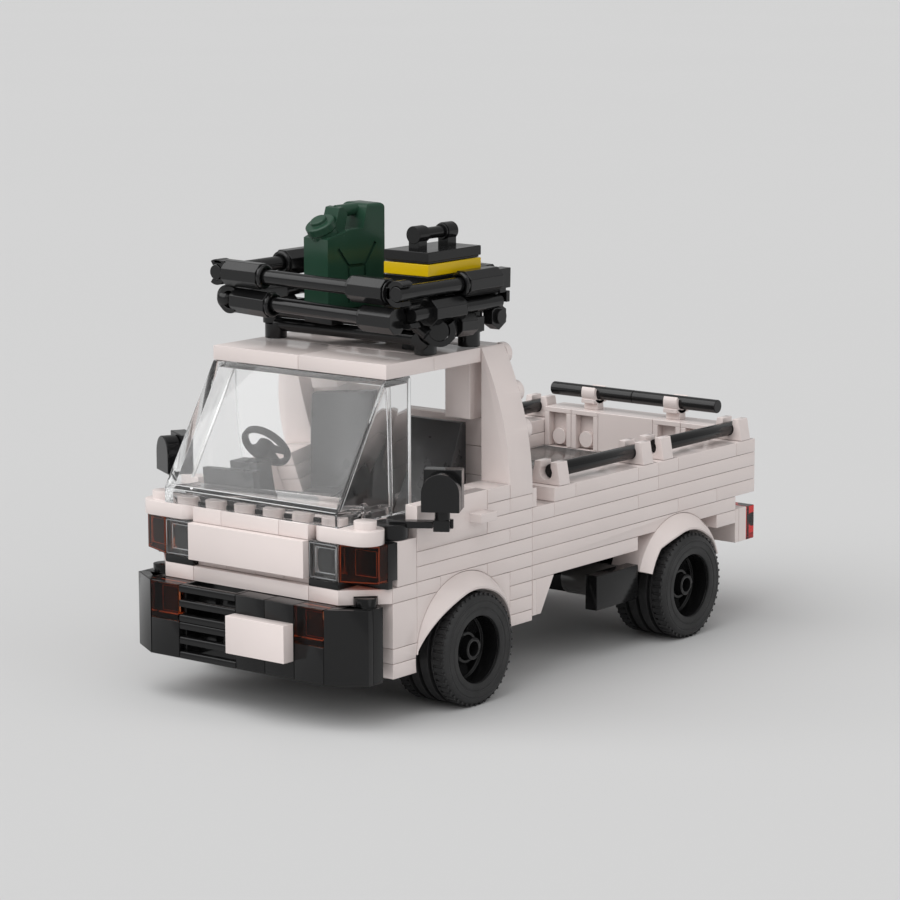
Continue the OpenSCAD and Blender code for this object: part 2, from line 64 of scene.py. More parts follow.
# brick millimetres count from the front seam of the cab sides and from the foot of the bumper
SEAM0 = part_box("cab_side_left")[0].y - JOINT / 2 * MM
ROW0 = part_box("bumper_core")[0].z

# corners this near in metres are one, and faces this near in angle are one
MERGE = 0.000002
FLAT = math.radians(0.4)
EASE_ANGLE = math.radians(32)

ACROSS = (1, 0, 0)
ALONG = (0, 1, 0)
UP = (0, 0, 1)
ORIGIN = (0, 0, 0)
SIDES = (-1, 1)
BODY = "truck_body"
WHEELS = ("front_left", "front_right", "rear_left", "rear_right")
LOOK = "_look"


# ---------------------------------------------------------------- sizes and colours

class BrickTruckSizes(bpy.types.PropertyGroup):
    """Sizes that a user may change without leaving the frame"""
    ease: bpy.props.FloatProperty(
        name="Edge ease", description="Rounding of the brick edges",
        default=0.00014, min=0.00002, max=0.0003, unit="LENGTH")
    groove: bpy.props.FloatProperty(
        name="Tread groove", description="Depth of the grooves round the tyre",
        default=0.001, min=0.0003, max=0.0018, unit="LENGTH")
    tread_blocks: bpy.props.IntProperty(
        name="Tread blocks", description="Blocks round each tyre shoulder",
        default=46, min=20, max=80)
    spokes: bpy.props.IntProperty(
        name="Spokes", description="Spokes in each rim", default=6, min=3, max=10)
    grain: bpy.props.FloatProperty(
        name="Mould grain", description="Strength of the fine grain in the plastic",
        default=0.06, min=0.0, max=0.5, subtype="FACTOR")


def colour(name, description, default):
    return bpy.props.FloatVectorProperty(
        name=name, description=description, subtype="COLOR", default=default, min=0, max=1)


class BrickTruckColours(bpy.types.PropertyGroup):
    """Colours of the plastics"""
    white: colour("White", "Body plastic", (0.80, 0.713, 0.688))
    black: colour("Black", "Bars, bumper and rims", (0.0075, 0.0075, 0.0078))
    grey: colour("Dark grey", "Floors", (0.098, 0.095, 0.092))
    rubber: colour("Rubber", "Tyres", (0.015, 0.015, 0.0155))
    green: colour("Green", "Jerrycan", (0.020, 0.058, 0.036))
    yellow: colour("Yellow", "Band of the toolbox", (0.74, 0.50, 0.004))
    clear: colour("Clear", "Windscreen and headlamps", (0.995, 0.995, 0.995))
    amber: colour("Amber", "Turn lamps", (0.47, 0.14, 0.060))
    red: colour("Red", "Tail lamps", (0.75, 0.02, 0.02))
    floor: colour("Floor", "Studio floor and backdrop", (0.617, 0.617, 0.617))


def colours():
    return bpy.context.scene.brick_truck_colours


def sizes():
    return bpy.context.scene.brick_truck_sizes


# ---------------------------------------------------------------- materials

def noise_field(tree, scale, detail):
    """Noise on the piece's own coordinates."""
    place = tree.nodes.new("ShaderNodeTexCoord")
    noise = tree.nodes.new("ShaderNodeTexNoise")
    noise.inputs["Scale"].default_value = scale
    noise.inputs["Detail"].default_value = detail
    tree.links.new(place.outputs["Object"], noise.inputs["Vector"])
    return noise.outputs["Fac"]


def spread(tree, field, low, high):
    """Maps the middle of a noise field onto a range."""
    node = tree.nodes.new("ShaderNodeMapRange")
    node.inputs["From Min"].default_value = 0.3
    node.inputs["From Max"].default_value = 0.7
    node.inputs["To Min"].default_value = low
    node.inputs["To Max"].default_value = high
    tree.links.new(field, node.inputs["Value"])
    return node.outputs["Result"]


def tinted(tree, field, tint, swing):
    """A colour that drifts a little lighter and darker."""
    mix = tree.nodes.new("ShaderNodeMix")
    mix.data_type = "RGBA"
    mix.inputs["A"].default_value = (*[c * (1 - swing) for c in tint], 1)
    mix.inputs["B"].default_value = (*[min(1, c * (1 + swing)) for c in tint], 1)
    tree.links.new(spread(tree, field, 0, 1), mix.inputs["Factor"])
    return mix.outputs["Result"]


def surface(name):
    """A new material with a bare Principled surface."""
    material = bpy.data.materials.new(name + LOOK)
    material.use_nodes = True
    tree = material.node_tree
    return material, tree, tree.nodes["Principled BSDF"]


def by_ray(tree, ray, others, these, output):
    """Shows one shader to the named kind of ray and another to all others."""
    path = tree.nodes.new("ShaderNodeLightPath")
    mix = tree.nodes.new("ShaderNodeMixShader")
    tree.links.new(path.outputs[ray], mix.inputs["Fac"])
    tree.links.new(others, mix.inputs[1])
    tree.links.new(these, mix.inputs[2])
    tree.links.new(mix.outputs["Shader"], tree.nodes[output].inputs["Surface"])


def grain(tree, shader, fine, strength):
    """Fine mould grain over a slow unevenness of the moulded face."""
    normal = None
    for scale, detail, depth in ((90, 2, 0.0002), (fine, 3, 0.00002)):
        bump = tree.nodes.new("ShaderNodeBump")
        bump.inputs["Strength"].default_value = strength
        bump.inputs["Distance"].default_value = depth
        tree.links.new(noise_field(tree, scale, detail), bump.inputs["Height"])
        if normal:
            tree.links.new(normal, bump.inputs["Normal"])
        normal = bump.outputs["Normal"]
    tree.links.new(normal, shader.inputs["Normal"])


def plastic(name, tint, rough, swing=0.025, specular=0.5):
    """Glossy moulded plastic with a faint drift in tint, gloss and face."""
    found = bpy.data.materials.get(name + LOOK)
    if found:
        return found
    material, tree, shader = surface(name)
    tree.links.new(tinted(tree, noise_field(tree, 35, 3), tint, swing), shader.inputs["Base Color"])
    gloss = spread(tree, noise_field(tree, 160, 4), rough * 0.8, rough * 1.25)
    tree.links.new(gloss, shader.inputs["Roughness"])
    shader.inputs["IOR"].default_value = 1.5
    shader.inputs["Specular IOR Level"].default_value = specular
    grain(tree, shader, 2400, sizes().grain)
    return material


def clear_plastic(name, tint, rough=0.03, ior=1.45):
    """Clear plastic that lets the lamps' light through to what is behind it."""
    found = bpy.data.materials.get(name + LOOK)
    if found:
        return found
    material, tree, shader = surface(name)
    tree.links.new(tinted(tree, noise_field(tree, 60, 2), tint, 0.02), shader.inputs["Base Color"])
    gloss = spread(tree, noise_field(tree, 220, 3), rough * 0.7, rough * 1.4)
    tree.links.new(gloss, shader.inputs["Roughness"])
    shader.inputs["Transmission Weight"].default_value = 1.0
    shader.inputs["IOR"].default_value = ior
    grain(tree, shader, 900, 0.02)
    through = tree.nodes.new("ShaderNodeBsdfTransparent")
    through.inputs["Color"].default_value = (*tint, 1)
    by_ray(tree, "Is Shadow Ray", shader.outputs["BSDF"], through.outputs["BSDF"], "Material Output")
    return material


def white_plastic():
    return plastic("white_plastic", colours().white, 0.14)


def black_plastic():
    return plastic("black_plastic", colours().black, 0.15, swing=0.08, specular=0.33)


def bar_plastic():
    return plastic("bar_plastic", colours().black, 0.17, swing=0.08, specular=0.42)


def seat_plastic():
    return plastic("seat_plastic", [c * 3 for c in colours().black], 0.3, swing=0.08)


def grey_plastic():
    return plastic("dark_grey_plastic", colours().grey, 0.13)


def windscreen_plastic():
    return clear_plastic("clear_glass", colours().clear)


def ledge_plastic():
    """The thick clear foot of the windscreen, a little cloudy."""
    return clear_plastic("clear_ledge", [c * 0.78 for c in colours().clear], rough=0.06)


def painted_highlight_plastic():
    """Painted highlight: an opaque near-white that stands in for the light gathering in the rims of a clear
    moulding.
    """
    return plastic("clear_edge", (0.93, 0.94, 0.94), 0.2)


def lens_edge_plastic():
    """The duller rim of a headlamp."""
    return plastic("lens_edge", (0.34, 0.35, 0.36), 0.25)


def amber_plastic():
    return clear_plastic("clear_amber", colours().amber, ior=1.25)


def amber_painted_glint_plastic():
    """Painted highlight: an opaque light amber for the glints along the rims of an amber moulding."""
    return plastic("amber_edge", (0.50, 0.23, 0.11), 0.3)


def red_plastic():
    return clear_plastic("clear_red", colours().red)


def tyre_rubber():
    found = bpy.data.materials.get("tyre_rubber" + LOOK)
    if found:
        return found
    material, tree, shader = surface("tyre_rubber")
    tree.links.new(tinted(tree, noise_field(tree, 140, 4), colours().rubber, 0.15),
                   shader.inputs["Base Color"])
    tree.links.new(spread(tree, noise_field(tree, 300, 4), 0.42, 0.58), shader.inputs["Roughness"])
    grain(tree, shader, 3000, 0.18)
    return material


# ---------------------------------------------------------------- shapes in brick millimetres

def moved(bm, verts, by):
    bmesh.ops.translate(bm, vec=by, verts=verts)
    return verts


def turned(bm, verts, centre, axis, degrees):
    bmesh.ops.rotate(bm, cent=centre, matrix=Matrix.Rotation(math.radians(degrees), 3, axis), verts=verts)
    return verts


def flipped(bm, verts):
    bmesh.ops.scale(bm, vec=(-1, 1, 1), verts=verts)


def mirrored(bm):
    """Adds the other side of the truck."""
    twin = bmesh.ops.duplicate(bm, geom=bm.verts[:] + bm.edges[:] + bm.faces[:])["geom"]
    flipped(bm, [g for g in twin if isinstance(g, bmesh.types.BMVert)])


def linked(verts, kind):
    """The link_edges or link_faces of some corners, each once and in a fixed order."""
    return list(dict.fromkeys(item for v in verts for item in getattr(v, kind)))


def rounded(bm, edges, offset, segments):
    bmesh.ops.bevel(bm, geom=edges, offset=offset, affect="EDGES", segments=segments, profile=0.5,
                    material=-1)


def block(bm, lo, hi):
    """A cuboid from corner to corner."""
    lo, hi = Vector(lo), Vector(hi)
    verts = bmesh.ops.create_cube(bm, size=1)["verts"]
    bmesh.ops.scale(bm, vec=hi - lo, verts=verts)
    return moved(bm, verts, (lo + hi) / 2)


def rod(bm, a, b, r, n=32, twist=0):
    """A round or many-sided bar from a to b."""
    a, b = Vector(a), Vector(b)
    turn = (b - a).to_track_quat("Z", "Y").to_matrix().to_4x4()
    spot = Matrix.Translation((a + b) / 2) @ turn @ Matrix.Rotation(math.radians(twist), 4, "Z")
    made = bmesh.ops.create_cone(bm, cap_ends=True, cap_tris=False, segments=n, radius1=r,
                                 radius2=r, depth=(b - a).length, matrix=spot)
    return made["verts"]


def slab(bm, outline, axis, a, b):
    """A flat outline pushed along an axis from a to b."""
    def point(p):
        return {"X": (a, p[0], p[1]), "Y": (p[0], a, p[1]), "Z": (p[0], p[1], a)}[axis]
    face = bm.faces.new([bm.verts.new(point(p)) for p in outline])
    pushed = bmesh.ops.extrude_face_region(bm, geom=[face])["geom"]
    verts = [g for g in pushed if isinstance(g, bmesh.types.BMVert)]
    way = Vector({"X": ACROSS, "Y": ALONG, "Z": UP}[axis])
    return moved(bm, verts, way * (b - a)) + list(face.verts)


def lathe(bm, profile, centre, way, n=72, start=0, sweep=360):
    """Spins (radius, along) points about an axis through centre, all the way or part of it."""
    centre = Vector(centre)
    way = Vector(way).normalized()
    side = (way.orthogonal() if abs(way.z) > 0.9 else way.cross(Vector(UP))).normalized()
    side = Matrix.Rotation(math.radians(start), 3, way) @ side
    before = set(bm.verts)
    ring = [bm.verts.new(centre + side * r + way * t) for r, t in profile]
    edges = [bm.edges.new(pair) for pair in zip(ring, ring[1:] + ring[:1])]
    if sweep < 360:
        bmesh.ops.spin(bm, geom=[bm.faces.new(ring)], cent=centre, axis=way, dvec=ORIGIN,
                       angle=math.radians(sweep), steps=n)
    else:
        bmesh.ops.spin(bm, geom=ring + edges, cent=centre, axis=way, dvec=ORIGIN,
                       angle=math.tau, steps=n, use_merge=True)
    made = [v for v in bm.verts if v not in before]
    bmesh.ops.remove_doubles(bm, verts=made, dist=0.0005)
    return [v for v in bm.verts if v not in before]


def stud(bm, x, y, z):
    foot = Vector((x, y, z))
    return rod(bm, foot, foot + Vector(UP) * STUD_H, STUD_R)


def ring_clip(bm, centre, way, start, sweep=250, r=BAR_R + 0.1, wall=1.1, width=3.4):
    """An open C-shaped clip round a bar."""
    half = width / 2
    return lathe(bm, [(r, -half), (r + wall, -half), (r + wall, half), (r, half)],
                 centre, way, n=20, start=start, sweep=sweep)


def holder(bm, a, b):
    """A bar holder: a flat-sided sleeve with a round collar where the bar goes in."""
    a, b = Vector(a), Vector(b)
    way = (b - a).normalized()
    r, bore = HOLDER_R, BAR_R + 0.25
    rod(bm, a, b - way * 0.9, r / math.cos(math.pi / 8), n=8, twist=22.5)
    lathe(bm, [(bore, -2.2), (r - 0.25, -2.2), (r - 0.1, -0.3), (r - 0.45, 0), (bore, 0)], b, way, n=32)


# ---------------------------------------------------------------- from millimetres to the frame

def to_frame(bm):
    """Turns a finished brick-millimetre mesh into metres at its place in the frame."""
    bmesh.ops.scale(bm, vec=(MM, MM, MM), verts=bm.verts)
    moved(bm, bm.verts, (0, SEAM0, ROW0))
    bmesh.ops.recalc_face_normals(bm, faces=bm.faces)


def placed(bm, name, materials, body=BODY, nodes=(), ease=1.0):
    """Makes an object of a mesh in the frame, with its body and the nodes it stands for."""
    mesh = bpy.data.meshes.new(name)
    bm.to_mesh(mesh)
    bm.free()
    mesh.shade_smooth()
    for material in materials:
        mesh.materials.append(material)
    piece = bpy.data.objects.new(name, mesh)
    bpy.context.scene.collection.objects.link(piece)
    if ease:
        bevel = piece.modifiers.new("ease", "BEVEL")
        bevel.width = sizes().ease * ease
        bevel.segments = 2
        bevel.limit_method = "ANGLE"
        bevel.angle_limit = EASE_ANGLE
        bevel.harden_normals = True
    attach(piece, body)
    if nodes:
        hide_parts(*nodes)
    return piece


def settle(bm, name, material, body=BODY, nodes=(), ease=1.0):
    """Puts a finished brick-millimetre mesh in the frame as an object."""
    to_frame(bm)
    return placed(bm, name, [material], body, nodes, ease)


def cad_mesh(node):
    """A node's own mesh in metres, without doubled corners or joins across flat faces."""
    bm = bmesh.new()
    bm.from_mesh(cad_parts[node].data)
    bmesh.ops.remove_doubles(bm, verts=bm.verts, dist=MERGE)
    bmesh.ops.dissolve_limit(bm, angle_limit=FLAT, verts=bm.verts, edges=bm.edges)
    return bm


def eased(node, material, ease=1.0):
    """Stands for a CAD node with the same shape and eased edges."""
    return placed(cad_mesh(node), node + "_part", [material], nodes=[node], ease=ease)


def brick_box(node):
    """A node's corners in brick millimetres."""
    return [Vector((c.x / MM, (c.y - SEAM0) / MM, (c.z - ROW0) / MM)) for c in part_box(node)]


def carve(piece, tools):
    """Cuts a set of cutters out of a finished piece, before its edges are eased."""
    to_frame(tools)
    mesh = bpy.data.meshes.new("cutters")
    tools.to_mesh(mesh)
    tools.free()
    cutter = bpy.data.objects.new("cutters", mesh)
    bpy.context.scene.collection.objects.link(cutter)
    cut = piece.modifiers.new("cut", "BOOLEAN")
    cut.operation = "DIFFERENCE"
    cut.solver = "EXACT"
    cut.use_self = True
    cut.object = cutter
    bpy.context.view_layer.objects.active = piece
    piece.modifiers.move(len(piece.modifiers) - 1, 0)
    bpy.context.view_layer.update()
    with bpy.context.temp_override(object=piece, active_object=piece):
        bpy.ops.object.modifier_apply(modifier="cut")
    bpy.data.objects.remove(cutter)
    bpy.data.meshes.remove(mesh)


# ---------------------------------------------------------------- wheels

class BRICKTRUCK_OT_tyres(bpy.types.Operator):
    """Grooved rubber tyres with shoulder blocks"""
    bl_idname = "brick_truck.tyres"
    bl_label = "Tyres"

    def execute(self, context):
        for wheel in WHEELS:
            lo, hi = brick_box("tyre_" + wheel)
            centre = (lo + hi) / 2
            r = (hi.z - lo.z) / 2
            bm = bmesh.new()
            lathe(bm, self.outline(r, (hi.x - lo.x) / 2), centre, (math.copysign(1, centre.x), 0, 0), n=92)
            self.shoulder_blocks(bm, centre, r)
            settle(bm, "tyre_rubber_" + wheel, tyre_rubber(), "wheel_" + wheel, ["tyre_" + wheel], ease=0.6)
        return {"FINISHED"}

    def outline(self, r, half):
        """Points from the inner seat over the grooved tread and down the outer wall."""
        low = r - sizes().groove / MM
        bead = 7.2
        seat = 9.02
        points = [(seat, -half), (r - 1.4, -half), (r - 0.75, -half + 0.3), (r - 0.35, -half + 0.8),
                  (r - 0.35, -3.9), (r, -3.86)]
        for k, t in enumerate((-3.5, -2.6, -0.45, 0.45, 2.6, 3.5)):
            a, b = (low, r) if k % 2 else (r, low)
            points += [(a, t - 0.06), (b, t + 0.06)]
        points += [(r, 3.86), (r - 0.35, 3.9), (r - 0.35, half - 0.8), (r - 0.75, half - 0.3),
                   (r - 1.4, half)]
        # rings on the outer wall
        points += [(10.5, half), (10.42, half - 0.1), (10.28, half - 0.1), (10.2, half), (9.2, half),
                   (9.1, half), (9.0, half - 0.12), (8.75, half - 0.12), (8.6, half), (7.7, half)]
        return points + [(bead + 0.1, half - 0.15), (bead, half - 0.5), (bead, half - 0.6),
                         (seat, half - 0.6)]

    def shoulder_blocks(self, bm, centre, r):
        """Wide blocks round each shoulder, with a narrow one between each pair."""
        steps = sizes().tread_blocks
        for side in SIDES:
            for shift, a, b, wide in ((0.0, 3.95, 6.25, 1.05), (0.5, 4.6, 6.6, 0.5)):
                top = r - 0.02 - 0.12 * shift
                made = block(bm, (side * a, -wide / 2, r - 0.6), (side * b, wide / 2, top))
                turned(bm, made, ORIGIN, "X", 360 / steps * shift)
                moved(bm, made, centre)
                geom = made + linked(made, "link_edges") + linked(made, "link_faces")
                bmesh.ops.spin(bm, geom=geom, cent=centre, axis=ACROSS, dvec=ORIGIN,
                               angle=math.tau * (steps - 1) / steps, steps=steps - 1, use_duplicate=True)


class BRICKTRUCK_OT_rims(bpy.types.Operator):
    """Deep rims with broad spokes round an open hub, and the carriers of their pins"""
    bl_idname = "brick_truck.rims"
    bl_label = "Rims"

    def execute(self, context):
        half = 7.0
        dish = [(8.98, -half), (8.98, half - 0.75), (7.25, half - 0.75), (7.15, half - 1.1),
                (7.15, 2.4), (6.55, 2.2), (6.45, 1.9), (6.45, 0.2), (3.6, 0.0), (3.6, 3.4), (3.3, 3.6),
                (2.75, 3.6), (2.55, 3.4), (2.45, 2.0), (2.45, -half + 1), (3.9, -half + 1),
                (3.9, -1.4), (7.2, -1.4), (7.2, -half)]
        spoke = [(-1.15, 3.3), (1.15, 3.3), (2.0, 6.5), (-2.0, 6.5)]
        count = sizes().spokes
        for wheel in WHEELS:
            lo, hi = brick_box("rim_" + wheel)
            centre = (lo + hi) / 2
            centre.x = sum(c.x for c in brick_box("tyre_" + wheel)) / 2
            out = math.copysign(1, centre.x)
            bm = bmesh.new()
            lathe(bm, dish, centre, (out, 0, 0), n=72)
            for k in range(count):
                made = moved(bm, slab(bm, spoke, "X", out * 0.1, out * 1.9), centre)
                turned(bm, made, centre, "X", 360 / count * k + 8)
            settle(bm, "rim_dish_" + wheel, black_plastic(), "wheel_" + wheel, ["rim_" + wheel], ease=0.7)
        eased("wheel_carriers", black_plastic())
        return {"FINISHED"}


class BRICKTRUCK_OT_arches(bpy.types.Operator):
    """Wheel arches that flare out to a rounded lip and thin towards their feet"""
    bl_idname = "brick_truck.arches"
    bl_label = "Wheel arches"

    # for each foot of an arch, front first: the share of the sweep it thins over, and its least thickness
    ENDS = {"front": ((0.40, 0.06), (0.42, 0.04)), "rear": ((0.40, 0.66), (0.30, 0.5))}

    def execute(self, context):
        body = 4 * PITCH
        for wheel in WHEELS:
            lo, hi = brick_box("fender_" + wheel)
            axle_lo, axle_hi = brick_box("tyre_" + wheel)
            centre = Vector((0, (axle_lo.y + axle_hi.y) / 2, (axle_lo.z + axle_hi.z) / 2))
            inner = (axle_hi.z - axle_lo.z) / 2 + 1.0
            outer = hi.z - centre.z
            lip = max(abs(lo.x), abs(hi.x))
            profile = [(inner, 3 * PITCH), (outer, 3 * PITCH), (outer, body), (outer - 0.25, body + 0.35),
                       (outer - 0.95, body + 1.5), (outer - 1.75, body + 2.5), (inner + 0.75, lip - 0.28),
                       (inner + 0.35, lip), (inner - 0.1, lip - 0.04), (inner - 0.38, lip - 0.4),
                       (inner - 0.3, lip - 1.0), (inner, body)]
            foot = math.degrees(math.asin((lo.z - centre.z) / inner)) + 1.5
            bm = bmesh.new()
            lathe(bm, profile, centre, ACROSS, n=80, start=180 + foot, sweep=180 - 2 * foot)
            self.taper(bm, centre, foot, outer, body, self.ENDS[wheel.split("_")[0]])
            if lo.x + hi.x < 0:
                flipped(bm, bm.verts)
            settle(bm, "arch_" + wheel, white_plastic(), nodes=["fender_" + wheel], ease=0.8)
        return {"FINISHED"}

    def taper(self, bm, centre, foot, outer, body, ends):
        """Thins the arch towards its two feet."""
        for v in bm.verts:
            y, z = v.co.y - centre.y, v.co.z - centre.z
            along = (math.degrees(math.atan2(z, -y)) - foot) / (180 - 2 * foot)
            full = 1
            for away, (share, least) in zip((along, 1 - along), ends):
                part = min(1, max(0, away / share))
                full = min(full, max(least, math.sin(part * math.pi / 2)))
            r = math.hypot(y, z)
            grown = (outer - (outer - r) * full) / r
            v.co.y = centre.y + y * grown
            v.co.z = centre.z + z * grown
            if v.co.x > body:
                v.co.x = body + (v.co.x - body) * full


# ---------------------------------------------------------------- body bricks

class BRICKTRUCK_OT_bricks(bpy.types.Operator):
    """Body bricks, plates and panels with eased edges"""
    bl_idname = "brick_truck.bricks"
    bl_label = "Body bricks"

    def execute(self, context):
        white = ("cab_side_left", "cab_side_right", "cab_front_wall", "hood_panel", "lamp_top_plates",
                 "licence_plate", "roof", "pillar_left", "pillar_right", "cab_back_wall",
                 "bed_side_left", "bed_side_right", "rail_clips", "mud_flaps")
        black = ("chassis_frame", "side_box", "bumper_core", "bumper_corners",
                 "rail_bars", "rack_deck", "lamp_backs")
        grey = ("cab_floor", "side_drum", "bed_floor")
        for node in white:
            piece = eased(node, white_plastic(), ease=0.75)
            if node == "cab_front_wall":
                self.front_joints(piece)
        for node in black:
            eased(node, black_plastic())
        for node in grey:
            eased(node, grey_plastic())
        return {"FINISHED"}

    def front_joints(self, piece):
        """Thin upright joints between the small bricks under the hood."""
        tools = bmesh.new()
        half = 0.06
        face = -2 * PLATE
        for x in (-PITCH, 0, PITCH):
            block(tools, (x - half, face - 0.1, 6 * PLATE - 0.2), (x + half, face + 0.5, 9 * PLATE))
        for x in (-2 * PITCH, 2 * PITCH):
            block(tools, (x - half, -PITCH - 0.1, 5 * PLATE - 0.1), (x + half, -PITCH + 0.5, 6 * PLATE + 0.1))
        carve(piece, tools)


class BRICKTRUCK_OT_gate(bpy.types.Operator):
    """Load bed gate with recessed panels and studs on its inner face, and its bar in two clips"""
    bl_idname = "brick_truck.gate"
    bl_label = "Load bed gate"

    def execute(self, context):
        lo, hi = brick_box("bed_gate")
        face, top = lo.y, hi.z
        sill = 8 * PLATE
        deep, rim = 2.19, 1.4
        bm = bmesh.new()
        block(bm, lo, (hi.x, hi.y, sill - JOINT))
        block(bm, (-PITCH + 0.05, face, sill), (PITCH - 0.05, hi.y, top))
        for left in (-3, -2, 1, 2):
            x0 = left * PITCH + 0.05
            x1 = x0 + PITCH - JOINT
            middle, high = (x0 + x1) / 2, sill + 2.4
            block(bm, (x0, face + 2.2, sill), (x1, hi.y, top))
            block(bm, (x0, face, sill), (x0 + rim, face + deep, top - 1.2))
            block(bm, (x1 - rim, face, sill), (x1, face + deep, top - 1.2))
            block(bm, (x0, face, top - 1.19), (x1, face + deep, top))
            rod(bm, (middle, face + 2.2, high), (middle, face + 0.6, high), 2.0)
        settle(bm, "gate_panels", white_plastic(), nodes=["bed_gate"])
        lo, hi = brick_box("gate_bar")
        y = (lo.y + hi.y) / 2
        z = hi.z - 2.6
        bm = bmesh.new()
        rod(bm, (lo.x, y, z), (-0.04, y, z), BAR_R, n=40)
        rod(bm, (0.04, y, z), (hi.x, y, z), BAR_R, n=40)
        settle(bm, "gate_top_bar", bar_plastic(), nodes=["gate_bar"], ease=1.4)
        bm = bmesh.new()
        for x in (-1.5 * PITCH, 1.5 * PITCH):
            block(bm, (x - 1.95, y - 1.3, top), (x + 1.95, y + 1.3, z - 2.0))
            block(bm, (x - 1.95, y - 2.6, z - 2.4), (x + 1.95, y + 2.6, z - 1.4))
            ring_clip(bm, (x, y, z), ACROSS, start=325, width=3.9, wall=1.0)
        settle(bm, "gate_bar_clips", white_plastic())
        return {"FINISHED"}


# ---------------------------------------------------------------- front

def hollow_lens(bm, outline, z0, z1, back_y, inset, deep):
    """A clear moulding with a square pocket in its back."""
    verts = slab(bm, outline, "Z", z0, z1)
    faces = linked(verts, "link_faces")
    back = min(faces, key=lambda f: abs(f.calc_center_median().y - back_y) - 0.01 * f.calc_area())
    bmesh.ops.inset_region(bm, faces=[back], thickness=inset)
    pushed = bmesh.ops.extrude_discrete_faces(bm, faces=[back])["faces"][0]
    moved(bm, pushed.verts, (0, -deep, 0))


def socket(bm, x, z, y):
    """The dark rounded square with a stud that shows through a lens."""
    half = 2.5
    verts = block(bm, (x - half, y, z - half), (x + half, y + 1.2, z + half))
    along_y = [e for e in linked(verts, "link_edges") if abs(e.verts[0].co.y - e.verts[1].co.y) > 0.5]
    rounded(bm, along_y, offset=0.9, segments=4)
    rod(bm, (x, y + 0.1, z), (x, y - 0.5, z), 1.9)


def frame_line(bm, x, z, y, half, wide):
    """A thin square line round a lamp."""
    for s in SIDES:
        a, b = sorted((s * half, s * (half - wide)))
        block(bm, (x + a, y, z - half), (x + b, y + 0.12, z + half))
        block(bm, (x - half, y, z + a), (x + half, y + 0.12, z + b))


class BRICKTRUCK_OT_lamps(bpy.types.Operator):
    """Clear headlamps and amber corner and bumper lamps over dark sockets"""
    bl_idname = "brick_truck.lamps"
    bl_label = "Front lamps"

    def execute(self, context):
        x2, x3, x4 = 2 * PITCH + 0.1, 3 * PITCH, 4 * PITCH
        middle = 2.5 * PITCH
        slant = 0.4 * PITCH
        head = self.lens("headlamp_lenses", windscreen_plastic(), "headlamps", x2, x3 - 0.1)
        corner = self.lens("corner_lenses", amber_plastic(), "corner_lamps", x3 + 0.1, x4,
                           slant=slant, inset=1.4, deep=1.5)
        bumper = self.lens("bumper_lenses", amber_plastic(), "bumper_lamps", x2, x3 - 0.1, deep=3.2)
        low, high = head[0].z, head[1].z
        mid_z, bumper_z = (low + high) / 2, (bumper[0].z + bumper[1].z) / 2
        back, corner_back, bumper_back = head[1].y, corner[1].y, bumper[1].y

        bm = bmesh.new()
        frame_line(bm, middle, mid_z, head[0].y - 0.02, 3.65, 0.16)
        frame_line(bm, middle, mid_z, back - 1.75, 2.75, 0.22)
        mirrored(bm)
        settle(bm, "headlamp_edges", lens_edge_plastic(), ease=0)

        # painted highlights: opaque amber glint lines along the tops and bottoms of the bumper and corner
        # lenses, and square lines round them
        bm = bmesh.new()
        for z in (bumper[0].z + 0.7, bumper[1].z - 0.8):
            block(bm, (x2 + 0.3, bumper_back - 3.4, z), (x3 - 0.4, bumper_back - 2.9, z + 0.22))
        frame_line(bm, middle, bumper_z, bumper_back - 3.0, 2.7, 0.1)
        front, side = -PITCH + 0.35, -PITCH + slant + 0.35
        for z in (low + 0.12, high - 0.3):
            slab(bm, [(x3 + 0.3, front), (x4 - 0.15, side), (x4 - 0.15, side + 0.3), (x3 + 0.3, front + 0.3)],
                 "Z", z, z + 0.18)
        block(bm, (x4 - 0.35, -0.58 * PITCH, low + 0.2), (x4 - 0.12, corner_back - 0.3, low + 0.45))
        for x, y in ((x3 + 0.25, front + 0.05), (x4 - 0.3, side + 0.05)):
            block(bm, (x, y, low + 0.2), (x + 0.18, y + 0.2, high - 0.2))
        frame_line(bm, 3.5 * PITCH + 0.2, mid_z, corner_back - 2.1, 2.75, 0.1)
        mirrored(bm)
        settle(bm, "amber_edges", amber_painted_glint_plastic(), ease=0)

        bm = bmesh.new()
        socket(bm, middle, mid_z, back - 1.3)
        socket(bm, 3.5 * PITCH + 0.4, mid_z, corner_back - 1.3)
        socket(bm, middle, bumper_z, bumper_back - 2.6)
        mirrored(bm)
        settle(bm, "lamp_sockets", black_plastic())
        return {"FINISHED"}

    def lens(self, name, material, node, x0, x1, slant=0, inset=1.5, deep=1.9):
        """A lens on each side of the truck, and the node's corners."""
        lo, hi = brick_box(node)
        bm = bmesh.new()
        hollow_lens(bm, [(x0, lo.y), (x1, lo.y + slant), (x1, hi.y), (x0, hi.y)], lo.z, hi.z, hi.y,
                    inset, deep)
        mirrored(bm)
        settle(bm, name, material, nodes=[node])
        return lo, hi


